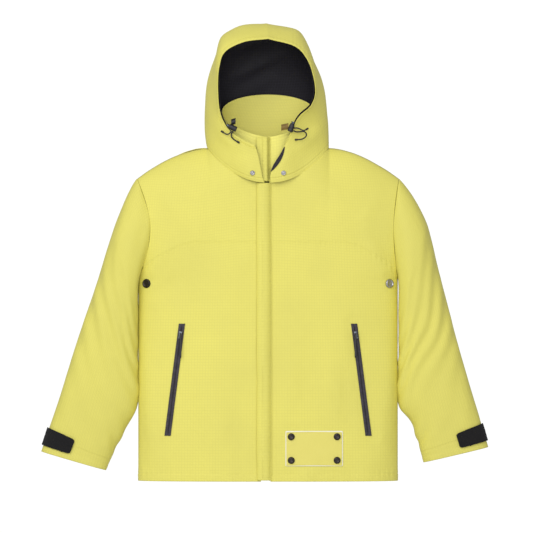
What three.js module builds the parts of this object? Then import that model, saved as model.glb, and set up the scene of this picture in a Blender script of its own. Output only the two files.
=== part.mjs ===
// Hardshell jacket with a fixed hood, as a worn-shape assembly. Millimetres, +Z up, front faces -Y,
// +X is the wearer's left. Heights are worked out from the hem and the whole jacket is then moved so
// that the origin is the top of the hanger loop inside the back neck.
import * as THREE from "three";

// ---- driving dimensions ----------------------------------------------------------------------
const chestHalfWidth = 299;      // flat half-width from underarm to hem
const bodyDepth = 72;            // half-depth of the body at the hem
const depthPerHeight = 0.0233;   // how much the front centre leans back per mm of height
const bodySquareness = 2.6;      // superellipse exponent of the body's cross-section
const shoulderPointHeight = 764; // hem to high shoulder point
const shoulderDrop = 70;         // high shoulder point to shoulder tip, in height
const neckHalfWidth = 140;       // half-width of the hood seam at the shoulders
const frontNeckHeight = 686;     // hem to front neck seam at the centre
const backNeckHeight = 752;      // hem to back neck seam at the centre
const shoulderTipX = 301;        // shoulder tip from the centre
const underarmHeight = 462;      // hem to underarm point
const armholeInset = { right: 30, left: 12 };    // how far each armhole seam bows inwards
const yokeSeamHeight = 546;      // front yoke seam at the centre
const yokeSeamDrop = 43;         // and how far it drops at the armhole
const backYokeHeight = 600;
const fabric = 1.5;              // panel thickness with its lining and seam tape
const seamGap = 0.4;             // clearance between stitched neighbours

const cuffDepth = 34;            // half-depth of the cuff
const upperSleeveDepth = 60;     // half-depth of the sleeve below the shoulder

const zipCentreX = -11;          // centre front zip, under the storm flap
const zipGapHalf = 5.2;          // half of the gap between the front panels over the zip
const zipTapeWidth = 26;
const flapFreeX = -26.5;         // free edge of the storm flap
const flapSewnX = 5;             // sewn edge of the storm flap
const flapStandoff = 7.4;        // space for the slider under the flap
const zipBottom = 14;
const zipTop = 778;

const pocketTop = { x: 197, z: 361 };
const pocketBottom = { x: 230, z: 104.5 };
const pocketWidth = 14.5;
const pocketPullLength = 56;

const labelCentre = { x: 105.6, z: 75.7 };
const labelWidth = 132;
const labelHeight = 81;
const labelThickness = 1.6;
const rivetInsetX = 13.5;
const rivetInsetZ = 13.5;

const collarBackHeight = 889;    // hem to the top edge of the stand collar at the back
const collarFrontHeight = 789;

const cordDiameter = 3;
const tipDiameter = 4.6;
const tipLength = 7;

// ---- looks -----------------------------------------------------------------------------------
const finish = {
  shell: { color: 0xeee77c, roughness: 0.78 },
  sleeve: { color: 0xe8df74, roughness: 0.78 },
  lining: { color: 0x1c1b21, roughness: 0.85 },
  black: { color: 0x1a191d, roughness: 0.55 },
  fleece: { color: 0x141216, roughness: 0.95 },
  zip: { color: 0x3e3844, roughness: 0.6 },
  steel: { color: 0x8c8990, roughness: 0.35, metalness: 1 },
  gunmetal: { color: 0x3c3635, roughness: 0.4, metalness: 1 },
};

// ---- helpers ---------------------------------------------------------------------------------
const jacket = new THREE.Group();
const sides = [
  { name: "right", sign: -1 },
  { name: "left", sign: 1 },
];

function add(name, geometry, look, parent = jacket) {
  const material = new THREE.MeshStandardMaterial({ metalness: 0, ...finish[look] });
  const mesh = new THREE.Mesh(geometry, material);
  mesh.name = name;
  parent.add(mesh);
  return mesh;
}

const mix = (a, b, t) => a + (b - a) * t;
const clamp01 = (t) => Math.min(1, Math.max(0, t));
const smooth = (t) => clamp01(t) ** 2 * (3 - 2 * clamp01(t));

// A thin closed shell over surface(u, v) in u0..u1, v0..v1. The fabric's outer face lies on the
// surface, lifted by lift(u, v), and its thickness goes inwards. outward is +1 when du x dv points out.
function shell(surface, { u0 = 0, u1 = 1, v0 = 0, v1 = 1, nu, nv, outward, loop = false,
  thickness = fabric, lift = () => 0 }) {
  const step = 1e-3;
  const normal = (u, v) => {
    const ua = loop ? u - step : Math.max(u0, u - step);
    const ub = loop ? u + step : Math.min(u1, u + step);
    const du = surface(ub, v).sub(surface(ua, v));
    const dv = surface(u, Math.min(v1, v + step)).sub(surface(u, Math.max(v0, v - step)));
    return du.cross(dv).normalize().multiplyScalar(outward);
  };
  const columns = loop ? nu : nu + 1;
  const rows = nv + 1;
  const positions = [];
  for (const depth of [0, thickness]) {
    for (let j = 0; j < rows; j++) {
      for (let i = 0; i < columns; i++) {
        const u = mix(u0, u1, i / nu);
        const v = mix(v0, v1, j / nv);
        positions.push(...surface(u, v).addScaledVector(normal(u, v), lift(u, v) - depth));
      }
    }
  }
  const outer = (i, j) => j * columns + (i % columns);
  const inner = (i, j) => rows * columns + outer(i, j);
  const index = [];
  const quad = (a, b, c, d) => (outward > 0
    ? index.push(a, b, c, a, c, d) : index.push(a, c, b, a, d, c));
  for (let j = 0; j < nv; j++) {
    for (let i = 0; i < nu; i++) {
      quad(outer(i, j), outer(i + 1, j), outer(i + 1, j + 1), outer(i, j + 1));
      quad(inner(i, j), inner(i, j + 1), inner(i + 1, j + 1), inner(i + 1, j));
    }
  }
  for (let i = 0; i < nu; i++) {
    quad(outer(i, 0), inner(i, 0), inner(i + 1, 0), outer(i + 1, 0));
    quad(outer(i, nv), outer(i + 1, nv), inner(i + 1, nv), inner(i, nv));
  }
  for (let j = 0; j < nv && !loop; j++) {
    quad(outer(0, j), outer(0, j + 1), inner(0, j + 1), inner(0, j));
    quad(outer(nu, j), inner(nu, j), inner(nu, j + 1), outer(nu, j + 1));
  }
  const geometry = new THREE.BufferGeometry();
  geometry.setAttribute("position", new THREE.Float32BufferAttribute(positions, 3));
  geometry.setIndex(index);
  return geometry;
}

// Where a ray along +Y at (x, z) meets a piece, with the facet's outward normal.
function frontOf(mesh, x, z, direction = 1) {
  mesh.updateWorldMatrix(true, false);
  const start = new THREE.Vector3(x, -400 * direction, z);
  const ray = new THREE.Raycaster(start, new THREE.Vector3(0, direction, 0));
  const hit = ray.intersectObject(mesh)[0];
  return { point: hit.point, normal: hit.face.normal.clone() };
}

// A group whose local +Z leaves the piece along the facet's normal and whose local +Y is up.
function seatOn(mesh, x, z, gap = seamGap) {
  const { point, normal } = frontOf(mesh, x, z);
  const across = new THREE.Vector3().crossVectors(new THREE.Vector3(0, 0, 1), normal).normalize();
  const up = new THREE.Vector3().crossVectors(normal, across);
  const seat = new THREE.Group();
  seat.matrixAutoUpdate = false;
  seat.matrix.makeBasis(across, up, normal).setPosition(point.addScaledVector(normal, gap));
  jacket.add(seat);
  return seat;
}

// A turned piece about local Z from [radius, height] points, which start and end on the axis.
function turned(profile, segments = 14) {
  const points = profile.map(([r, h]) => new THREE.Vector2(r, h));
  return new THREE.LatheGeometry(points, segments).rotateX(Math.PI / 2);
}

function tube(points, diameter, steps, tension = 0.5) {
  const curve = new THREE.CatmullRomCurve3(points.map((p) => new THREE.Vector3(...p)), false,
    "catmullrom", tension);
  const ring = new THREE.Shape();
  ring.absarc(0, 0, diameter / 2, 0, 2 * Math.PI);
  return new THREE.ExtrudeGeometry(ring, { extrudePath: curve, steps, curveSegments: 4 });
}

// A flat bar with rounded corners: width along X, height along Y, thickness along +Z.
function plate(width, height, thickness, corner, curveSegments = 3) {
  const [w, h] = [width / 2, height / 2];
  const outline = new THREE.Shape();
  outline.moveTo(-w + corner, -h);
  outline.lineTo(w - corner, -h);
  outline.absarc(w - corner, -h + corner, corner, -Math.PI / 2, 0);
  outline.lineTo(w, h - corner);
  outline.absarc(w - corner, h - corner, corner, 0, Math.PI / 2);
  outline.lineTo(-w + corner, h);
  outline.absarc(-w + corner, h - corner, corner, Math.PI / 2, Math.PI);
  outline.lineTo(-w, -h + corner);
  outline.absarc(-w + corner, -h + corner, corner, Math.PI, Math.PI * 1.5);
  return new THREE.ExtrudeGeometry(outline, { depth: thickness, bevelEnabled: false, curveSegments });
}

// ---- body ------------------------------------------------------------------------------------
// Height of the shoulder line over x; inside the neck it is virtual and keeps the body deep there.
function shoulderLine(x) {
  const past = Math.abs(x) - neckHalfWidth;
  if (past < 0) return shoulderPointHeight + 122 * (1 - (x / neckHalfWidth) ** 2);
  return shoulderPointHeight - shoulderDrop * (past / (shoulderTipX - neckHalfWidth)) ** 1.7;
}

// Top edge of a body panel: the neck seam in the middle and the shoulder line beside it.
function topEdge(x, neckHeight) {
  const across = Math.min(1, Math.abs(x) / neckHalfWidth);
  return across < 1 ? mix(neckHeight, shoulderPointHeight, across ** 2.2) : shoulderLine(x);
}

const shoulderTipHeight = shoulderLine(shoulderTipX);

// Half-width of the body at a height: straight below the underarm, bowed in along the armhole.
function edgeX(z, inset) {
  if (z <= underarmHeight) return chestHalfWidth;
  const rise = Math.min(1, (z - underarmHeight) / (shoulderTipHeight - underarmHeight));
  return mix(chestHalfWidth, shoulderTipX, rise) - inset * Math.sin(Math.PI * rise);
}

// Half-width of the superellipse that the body's section belongs to, open at the armhole.
function sectionHalfWidth(z, inset) {
  return edgeX(z, inset) + 60 * clamp01((z - underarmHeight) / 140);
}

const centreDepth = (z) => bodyDepth - depthPerHeight * z;

function bodyDepthAt(x, z, inset) {
  const across = Math.min(1, Math.abs(x) / sectionHalfWidth(z, inset));
  const closing = clamp01(1 - (shoulderLine(x) - z) / 200);
  return centreDepth(z) * (1 - across ** bodySquareness) ** (1 / bodySquareness)
    * Math.sqrt(1 - closing ** 2.4);
}

const frontYoke = (x) => yokeSeamHeight
  - yokeSeamDrop * Math.max(0, (Math.abs(x) - 170) / 97) ** 1.5;
const backYoke = () => backYokeHeight;
const hem = () => 0;

// Surface of a body panel. face is -1 for the front and +1 for the back. u runs from 0 at the
// centre edge (xInner) to 1 at the side seam or armhole, v from the lower to the upper edge.
function bodySurface(sign, face, lower, upper, xInner) {
  const inset = armholeInset[sign < 0 ? "right" : "left"];
  return (u, v) => {
    let z = mix(lower(chestHalfWidth), upper(chestHalfWidth), v);
    let x = 0;
    for (let pass = 0; pass < 6; pass++) {
      const half = sectionHalfWidth(z, inset);
      const power = bodySquareness / 2;
      const turnEnd = Math.asin(Math.min(1, (edgeX(z, inset) / half) ** power));
      const turnStart = Math.asin((xInner / half) ** power);
      x = half * Math.sin(mix(turnStart, turnEnd, u)) ** (1 / power);
      z = mix(lower(x), upper(x), v);
    }
    return new THREE.Vector3(sign * x, face * bodyDepthAt(x, z, inset), z);
  };
}

// The same surface with its rows crowded towards its top, where the edge bends most.
const crowded = (surface, power = 2) => (u, v) => surface(u, 1 - (1 - v) ** power);

const body = {};
const sideEnd = 0.9992;         // stops each panel just short of the side seam
for (const { name, sign } of sides) {
  const xInner = sign < 0 ? -(zipCentreX - zipGapHalf) : zipCentreX + zipGapHalf;
  const inner = Math.abs(xInner);
  const lowerFront = bodySurface(sign, -1, hem, (x) => frontYoke(x) - seamGap, inner);
  body[`front_panel_${name}`] = add(`front_panel_${name}`, shell(crowded(lowerFront, 1.6),
    { u1: sideEnd, nu: 9, nv: 8, outward: sign }), "shell");
  const yoke = bodySurface(sign, -1, (x) => frontYoke(x) + seamGap,
    (x) => topEdge(x, frontNeckHeight) - seamGap, inner);
  body[`front_yoke_${name}`] = add(`front_yoke_${name}`, shell(crowded(yoke),
    { u1: sideEnd, v1: 0.999, nu: 9, nv: 8, outward: sign }), "shell");
}

// A back panel in one piece over both sides: u runs from the right side seam to the left one.
function backSurface(lower, upper) {
  const right = bodySurface(-1, 1, lower, upper, 0);
  const left = bodySurface(1, 1, lower, upper, 0);
  return (u, v) => (u < 0 ? right(-u, v) : left(u, v));
}
body.back_panel = add("back_panel", shell(
  crowded(backSurface(hem, () => backYoke() - seamGap), 1.6),
  { u0: -sideEnd, u1: sideEnd, nu: 14, nv: 8, outward: -1 }), "shell");
body.back_yoke = add("back_yoke", shell(crowded(backSurface(() => backYoke() + seamGap,
  (x) => topEdge(x, backNeckHeight) - seamGap)),
{ u0: -sideEnd, u1: sideEnd, v1: 0.999, nu: 14, nv: 6, outward: -1 }), "shell");

// ---- sleeves ---------------------------------------------------------------------------------
// Outer and inner edge of each sleeve as (distance from the centre, height), shoulder to cuff.
const sleeveEdges = {
  right: {
    outer: [[301, 694], [328, 652], [386, 478], [455, 268], [521, 67]],
    inner: [[301, 462], [303, 400], [305, 290], [306, 172], [332, 112], [373, 24]],
  },
  left: {
    outer: [[301, 694], [351, 629], [402, 446], [458, 240], [506, 77]],
    inner: [[301, 462], [303, 400], [304, 290], [306, 172], [328, 134], [358, 42]],
  },
};
const cuffShare = 0.945;         // where the cuff seam lies along the sleeve

function edgeCurve(points) {
  return new THREE.CatmullRomCurve3(points.map(([x, z]) => new THREE.Vector3(x, 0, z)), false,
    "centripetal");
}

// Surface of a sleeve: u goes round from the outer edge over the front, v from armhole to cuff.
function sleeveSurface({ name, sign }) {
  const outer = edgeCurve(sleeveEdges[name].outer);
  const inner = edgeCurve(sleeveEdges[name].inner);
  const inset = armholeInset[name];
  const clear = 1.2;             // gap to the armhole edge of the body
  return (u, v) => {
    const turn = 2 * Math.PI * u;
    const a = outer.getPointAt(v);
    const b = inner.getPointAt(v);
    const squash = 0.86 - 0.1 * v;
    const c = Math.sign(Math.cos(turn)) * Math.abs(Math.cos(turn)) ** squash;
    const s = Math.sign(Math.sin(turn)) * Math.abs(Math.sin(turn)) ** squash;
    const depth = v < 0.12 ? upperSleeveDepth : mix(upperSleeveDepth, cuffDepth, (v - 0.12) / 0.88);
    const point = a.clone().add(b).multiplyScalar(0.5).addScaledVector(a.clone().sub(b), c / 2);
    point.y = -depth * s;
    const z = mix(underarmHeight, shoulderTipHeight, (1 + Math.cos(turn)) / 2);
    const x = edgeX(z, inset);
    const armhole = new THREE.Vector3(x + clear, -Math.sign(s) * bodyDepthAt(x, z, inset), z);
    point.lerp(armhole, 1 - smooth(v / 0.2));
    point.x *= sign;
    return point;
  };
}

const sleeves = {};
for (const side of sides) {
  const surface = sleeveSurface(side);
  const shared = { nu: 20, outward: side.sign, loop: true };
  sleeves[`sleeve_${side.name}`] = add(`sleeve_${side.name}`, shell(surface,
    { ...shared, v1: cuffShare - 0.0006, nv: 10 }), "sleeve");
  sleeves[`cuff_${side.name}`] = add(`cuff_${side.name}`, shell(surface,
    { ...shared, v0: cuffShare, nv: 1 }), "sleeve");
}

// ---- hood, collar and chin flaps -------------------------------------------------------------
// The hood is a surface between two loops: the neck seam and the face opening. turn runs from 0 at
// the front centre over the wearer's left side (a quarter) and the back (a half) to the right.
// Outline of the opening's edge on each side from chin to forehead, as (distance from the centre,
// height above the hem).
const openingEdge = {
  right: [[0, 762], [30, 770], [60, 784], [91, 807], [108, 838], [114, 880], [112, 945],
    [100, 980], [57, 1004], [0, 1012]],
  left: [[0, 762], [30, 768], [43, 782], [51, 798], [71, 834], [98, 859], [108, 885], [104, 925],
    [91, 962], [66, 992], [0, 1012]],
};
const openingHalf = {
  right: edgeCurve(openingEdge.right),
  left: edgeCurve(openingEdge.left),
};
const chinEnd = 70 / 360;        // where the chin flaps end and the turning hood begins
const centreStart = 150 / 360;   // where the hood's centre panel begins
const chinLift = 12.5;           // how far the chin flaps stand off the body over the storm flap
const neckGap = 1.5;             // clearance over the neck seam, whose edge bends
const hoodShift = 8;             // the hood sits a little to the wearer's right
const liningGap = 4;             // hood shell to hood lining
const liningEdgeGap = 2.1;       // the same where the lining is sewn to the opening

function neckLoop(turn, inwards = 0) {
  const angle = 2 * Math.PI * turn;
  const front = Math.cos(angle) > 0;
  const x = neckHalfWidth * Math.sin(angle);
  const z = topEdge(x, front ? frontNeckHeight : backNeckHeight) + neckGap;
  const depth = bodyDepthAt(x, z - neckGap, 0);
  const lift = front && !inwards ? chinLift * (1 - smooth((Math.abs(x) - 30) / 60)) : 0;
  const scale = 1 - inwards / neckHalfWidth;
  const y = Math.max(0, depth - inwards) + lift;
  return new THREE.Vector3(x * scale, front ? -y : y, z);
}

function openingLoop(turn) {
  const half = 1 - Math.abs(1 - 2 * (((turn % 1) + 1) % 1));
  const sign = Math.sin(2 * Math.PI * turn) < 0 ? -1 : 1;
  const point = openingHalf[sign < 0 ? "right" : "left"].getPointAt(half);
  point.x *= sign;
  point.y = -72 - 20 * smooth((point.z - 762) / 200);
  return point;
}

function hoodSurface(turn, v) {
  const angle = 2 * Math.PI * turn;
  const back = (1 - Math.cos(angle)) / 2;
  const side = Math.sin(angle);
  const start = neckLoop(turn);
  const end = openingLoop(turn);
  const low = start.clone().add(new THREE.Vector3(side * mix(4, 16, back) - hoodShift,
    mix(-6, 104, back ** 1.6), mix(22, 108, back)));
  const high = end.clone().add(new THREE.Vector3(side * mix(2, 30, back) - hoodShift * back,
    mix(-1, 172, back ** 1.4), mix(-22, 146, back ** 1.8) + 95 * (side * back) ** 2));
  return new THREE.CubicBezierCurve3(start, low, high, end).getPoint(v);
}

// Front edge of each chin flap: upright at the neck seam and leaning outwards at the opening.
const chinFront = { left: [0.0068, 0.066], right: [0.0102, 0.041] };

const hood = {};
const hoodGap = 0.0008;
for (const { name, sign } of sides) {
  const [low, high] = chinFront[name];
  const chin = (u, v) => hoodSurface(sign * mix(mix(low, high, v ** 2), chinEnd - hoodGap, u), v);
  hood[`chin_flap_${name}`] = add(`chin_flap_${name}`, shell(chin,
    { nu: 9, nv: 5, outward: sign }), "shell");
  const part = (u, v) => hoodSurface(sign * mix(chinEnd + hoodGap, centreStart - hoodGap, u), v);
  hood[`hood_side_${name}`] = add(`hood_side_${name}`, shell(part,
    { nu: 6, nv: 10, outward: sign }), "shell");
}
hood.centre = add("hood_centre_panel", shell(hoodSurface,
  { u0: centreStart, u1: 1 - centreStart, nu: 6, nv: 14, outward: 1 }), "shell");
hood.lining = add("hood_lining", shell((u, v) => hoodSurface(u, v),
  { u0: chinEnd + 0.004, u1: 1 - chinEnd - 0.004, v0: 0.12, v1: 0.985, nu: 14, nv: 8, outward: 1,
    lift: (u, v) => -fabric - mix(liningGap, liningEdgeGap, smooth((v - 0.9) / 0.08)),
    thickness: 1 }), "lining");

// Stand collar inside the hood, open at the front over the zip.
const collarInset = fabric + 0.7; // collar foot to hood foot, through the seam
function collarSurface(turn, v) {
  const angle = 2 * Math.PI * turn;
  const back = (1 - Math.cos(angle)) / 2;
  const foot = neckLoop(turn, collarInset);
  const top = new THREE.Vector3(106 * Math.sin(angle), mix(-51.4, 50, back),
    mix(collarFrontHeight, collarBackHeight, back ** 0.75));
  return foot.lerp(top, v);
}
const zipOpening = [zipCentreX + zipGapHalf, zipCentreX - zipGapHalf]
  .map((x) => Math.asin(x / neckHalfWidth) / (2 * Math.PI));
add("stand_collar", shell(collarSurface,
  { u0: zipOpening[0], u1: 1 + zipOpening[1], nu: 24, nv: 4, outward: 1 }), "shell");

// ---- storm flap and centre front zip -----------------------------------------------------------
const frontCentre = (z) => -centreDepth(z);

// Cross-section of the flap: it lies on its ground at its seam and stands off over the zip.
function flapSurface(zLow, zHigh, ground) {
  return (u, v) => {
    const x = mix(flapFreeX, flapSewnX, u);
    const z = mix(zLow, zHigh, v);
    const standoff = mix(ground + seamGap, flapStandoff, smooth((flapSewnX - x) / 9));
    return new THREE.Vector3(x, frontCentre(z) - standoff - fabric, z);
  };
}
add("storm_flap", shell(flapSurface(3, frontNeckHeight - 2.5, 0),
  { nu: 8, nv: 2, outward: 1 }), "shell");
add("collar_placket", shell(
  flapSurface(frontNeckHeight + 1.5, collarFrontHeight - 1, -collarInset),
  { nu: 8, nv: 2, outward: 1 }), "shell");

// The zip lies along a straight line that leans with the front; group Z runs along it.
const lean = Math.atan(depthPerHeight);
const zip = new THREE.Group();
zip.position.set(zipCentreX, frontCentre(0), 0);
zip.rotation.x = -lean;
jacket.add(zip);
const along = (height) => height / Math.cos(lean);

function zipBar(name, [x0, x1], [y0, y1], [z0, z1], look) {
  const bar = new THREE.BoxGeometry(x1 - x0, y1 - y0, along(z1) - along(z0));
  const mesh = add(name, bar, look, zip);
  mesh.position.set((x0 + x1) / 2, (y0 + y1) / 2, (along(z0) + along(z1)) / 2);
  return mesh;
}
const tapeFront = fabric + seamGap;
const coilHalf = 2.5;
const coilDepth = 2;
zipBar("zip_tape_right", [-zipTapeWidth / 2, -0.4], [tapeFront, tapeFront + 0.8],
  [zipBottom, frontNeckHeight - 4], "zip");
zipBar("zip_tape_left", [0.4, zipTapeWidth / 2], [tapeFront, tapeFront + 0.8],
  [zipBottom, frontNeckHeight - 4], "zip");
const coilBack = tapeFront - seamGap;
zipBar("zip_coil", [-coilHalf, coilHalf], [coilBack - coilDepth, coilBack],
  [zipBottom + 13, zipTop], "zip");
zipBar("zip_insertion_box", [-4, 4], [coilBack - 3, coilBack], [zipBottom, zipBottom + 12.5],
  "gunmetal");
const sliderBack = coilBack - coilDepth - seamGap;
const sliderDepth = 3.2;
const slider = plate(8.6, 13, sliderDepth, 2.5);
slider.rotateX(Math.PI / 2);
const mainSlider = add("zip_slider", slider, "gunmetal", zip);
mainSlider.position.set(0, sliderBack, along(zipTop - 10));
const pull = plate(6, 34, 1.1, 2.6);
pull.rotateX(Math.PI / 2);
const mainPull = add("zip_pull", pull, "black", zip);
mainPull.position.set(0, sliderBack - sliderDepth - seamGap, along(zipTop - 26));

// Hanger loop: a cord arch sewn to the back of the collar. Its top is the origin of the jacket.
const hangerY = 46.4;
const hangerTop = 775;
const hangerDiameter = 4;
add("hanger_loop", tube([[-20, hangerY, 756], [-17, hangerY - 3, 765], [-8, hangerY - 5, 772],
  [0, hangerY - 5, hangerTop - hangerDiameter / 2], [8, hangerY - 5, 772],
  [17, hangerY - 3, 765], [20, hangerY, 756]], hangerDiameter, 14), "shell");

// ---- pockets ---------------------------------------------------------------------------------
// A surface patch of the front between two heights, lifted off the front panel. u runs across
// the strip from the centre outwards, v from the lower end to the upper end.
function frontStrip(sign, lower, upper, width) {
  const inset = armholeInset[sign < 0 ? "right" : "left"];
  return (u, v) => {
    const z = mix(lower.z, upper.z, v);
    const x = mix(lower.x, upper.x, v) + (u - 0.5) * width;
    return new THREE.Vector3(sign * x, -bodyDepthAt(x, z, inset), z);
  };
}

const weltThickness = 1.6;
const pocketSliderDepth = 4;
const pullGap = 1;             // the slider leans with the body and the pull hangs plumb
for (const { name, sign } of sides) {
  const strip = frontStrip(sign, pocketBottom, pocketTop, pocketWidth);
  add(`pocket_zip_${name}`, shell(strip, { nu: 2, nv: 10, outward: sign,
    lift: () => seamGap + weltThickness, thickness: weltThickness }), "zip");
  const bag = frontStrip(sign, { x: 140, z: 62 }, { x: 128, z: 352 }, 150);
  add(`pocket_bag_${name}`, shell(bag, { nu: 5, nv: 6, outward: sign,
    lift: () => -fabric - 2 * seamGap, thickness: 2.4 }), "lining");

  // The zip's straight line over the body: a group whose local Z runs up the zip and whose
  // local -Y leaves the jacket.
  const foot = strip(0.5, 0);
  const head = strip(0.5, 1);
  const up = head.clone().sub(foot).normalize();
  const out = new THREE.Vector3(sign * 0.2, -1, 0);
  const across = new THREE.Vector3().crossVectors(out.negate(), up).normalize();
  const inwards = new THREE.Vector3().crossVectors(up, across);
  const track = new THREE.Group();
  track.matrixAutoUpdate = false;
  const trackGap = seamGap + weltThickness + 1;
  track.matrix.makeBasis(across, inwards, up)
    .setPosition(head.clone().addScaledVector(inwards, -trackGap));
  jacket.add(track);
  const pocketSlider = add(`pocket_slider_${name}`,
    plate(10, 17, pocketSliderDepth, 3).rotateX(Math.PI / 2), "gunmetal", track);
  pocketSlider.position.z = -26;

  // The pull hangs straight down from the slider's bail.
  const pullTop = head.clone().addScaledVector(up, -22)
    .addScaledVector(inwards, -trackGap - pocketSliderDepth - pullGap);
  const pocketPull = add(`pocket_pull_${name}`,
    plate(5, pocketPullLength, 1.4, 2.4).rotateX(Math.PI / 2), "black");
  pocketPull.position.copy(pullTop).add(new THREE.Vector3(-sign * 1, 0, -pocketPullLength / 2));
}

// ---- label patch and snaps ---------------------------------------------------------------------
const labelStrip = frontStrip(1, { x: labelCentre.x, z: labelCentre.z - labelHeight / 2 },
  { x: labelCentre.x, z: labelCentre.z + labelHeight / 2 }, labelWidth);
const label = add("label_patch", shell(labelStrip, { nu: 6, nv: 2, outward: 1,
  lift: () => seamGap + labelThickness, thickness: labelThickness }), "shell");

// A snap or rivet cap: a flange, a domed wall and a flat or dished top.
function snapCap(radius, height, dish) {
  return turned([[0, 0], [radius, 0], [radius, height * 0.35], [radius * 0.9, height * 0.8],
    [radius * 0.76, height], [radius * 0.5, height - dish], [0, height - dish]]);
}

const labelRivets = [
  ["upper_inner", -1, 1], ["upper_outer", 1, 1], ["lower_inner", -1, -1], ["lower_outer", 1, -1],
];
for (const [name, acrossSign, upSign] of labelRivets) {
  const x = labelCentre.x + acrossSign * (labelWidth / 2 - rivetInsetX);
  const z = labelCentre.z + upSign * (labelHeight / 2 - rivetInsetZ);
  add(`label_rivet_${name}`, snapCap(8, 3.4, 0.5), "gunmetal", seatOn(label, x, z));
}

const chestSnap = { x: 279, z: 453, radius: 10.5, height: 4 };
const collarSnap = { x: 35.3, z: 706, radius: 5.8, height: 2.6 };
for (const { name, sign } of sides) {
  const panel = body[`front_panel_${name}`];
  add(`chest_snap_${name}`, snapCap(chestSnap.radius, chestSnap.height, 1.2),
    sign < 0 ? "gunmetal" : "steel", seatOn(panel, sign * chestSnap.x, chestSnap.z, 0.8));
  add(`collar_snap_${name}`, snapCap(collarSnap.radius, collarSnap.height, 0.9), "steel",
    seatOn(hood[`chin_flap_${name}`], sign * collarSnap.x, collarSnap.z));
}

// ---- cuffs' hook-and-loop ----------------------------------------------------------------------
const tabAlong = [0.914, 0.977];
const tabThickness = 2.4;
const loopThickness = 0.8;
const loopGap = 1;               // clearance over the flat facets of the cuff
for (const side of sides) {
  const surface = sleeveSurface(side);
  const shared = { v0: tabAlong[0], v1: tabAlong[1], nv: 2, outward: side.sign };
  add(`cuff_loop_${side.name}`, shell(surface, { ...shared, u0: 0.03, u1: 0.32, nu: 12,
    lift: () => loopGap + loopThickness, thickness: loopThickness }), "fleece");
  add(`cuff_tab_${side.name}`, shell(surface, { ...shared, u0: 0.0, u1: 0.235, nu: 12,
    lift: () => loopGap + loopThickness + seamGap + tabThickness, thickness: tabThickness }), "fleece");
}

// ---- hood drawcord -----------------------------------------------------------------------------
// Each lock's barrel axis is its local Z; its button slides along it into the bore.
const lockLength = 19;
const lockWidth = 13;
const lockDepth = 10;
const boreRadius = 3.6;
const buttonRadius = 3.2;
const buttonProud = 5;
const buttonInside = 12;
const locks = {
  right: { centre: [-80.8, -78.7, 809.1], axis: [-0.904, 0, 0.427] },
  left: { centre: [53, -80, 809], axis: [0.303, 0, 0.953] },
};

function lockBody() {
  const section = new THREE.Shape();
  section.absellipse(0, 0, lockWidth / 2, lockDepth / 2, 0, 2 * Math.PI);
  const bore = new THREE.Path();
  bore.absarc(0, 0, boreRadius, 0, 2 * Math.PI, true);
  section.holes.push(bore);
  return new THREE.ExtrudeGeometry(section, { depth: lockLength, bevelEnabled: false,
    curveSegments: 8 }).translate(0, 0, -lockLength / 2);
}

for (const { name } of sides) {
  const { centre, axis } = locks[name];
  const barrel = new THREE.Vector3(...axis).normalize();
  const forward = new THREE.Vector3(0, -1, 0);
  const across = new THREE.Vector3().crossVectors(forward, barrel);
  const lock = new THREE.Group();
  lock.matrixAutoUpdate = false;
  lock.matrix.makeBasis(across, forward, barrel).setPosition(...centre);
  jacket.add(lock);
  add(`cord_lock_${name}`, lockBody(), "black", lock);
  const button = new THREE.CylinderGeometry(buttonRadius, buttonRadius,
    buttonProud + buttonInside, 12).rotateX(Math.PI / 2);
  const mesh = add(`cord_lock_button_${name}`, button, "black", lock);
  mesh.position.z = lockLength / 2 + (buttonProud - buttonInside) / 2;
}

// Free ends of the drawcord, from the lock to the tip.
const cordEnds = {
  upper_right: [[-86, -79, 802.4], [-84.5, -84, 800], [-88, -85, 796], [-93, -80.5, 794],
    [-98, -75, 796], [-102, -72.5, 798.5]],
  lower_right: [[-80.2, -79, 800.9], [-81, -78, 799.5], [-84, -76.5, 794], [-83, -75.5, 788],
    [-78, -75, 782.5], [-71, -75, 778]],
  upper_left: [[61, -80, 808], [66, -85.5, 808.3], [72, -86, 806.5], [78, -83.5, 803.5],
    [83, -80, 803], [86.5, -78.5, 804.7]],
  lower_left: [[58.2, -80, 802.2], [65, -78.4, 799.8], [74, -76.5, 800], [82, -76, 800.5],
    [87, -75.8, 796.5], [87, -75, 790], [81, -75, 784.5], [74, -75.5, 782.5], [68, -76, 782]],
};
for (const [name, points] of Object.entries(cordEnds)) {
  add(`drawcord_${name}`, tube(points, cordDiameter, 3 * (points.length - 1)), "black");
  const end = new THREE.Vector3(...points.at(-1));
  const direction = end.clone().sub(new THREE.Vector3(...points.at(-2))).normalize();
  const tip = new THREE.CylinderGeometry(tipDiameter / 2, tipDiameter / 2 - 0.5, tipLength, 10);
  const mesh = add(`cord_tip_${name}`, tip, "black");
  mesh.quaternion.setFromUnitVectors(new THREE.Vector3(0, 1, 0), direction);
  mesh.position.copy(end).addScaledVector(direction, seamGap + tipLength / 2);
}

jacket.position.set(0, 5 - hangerY, -hangerTop);

export default jacket;
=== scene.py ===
"""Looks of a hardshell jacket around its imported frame: cloth, seams, hardware, light and camera."""

import math

import bpy
import numpy as np
from mathutils import Matrix, Vector


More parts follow.
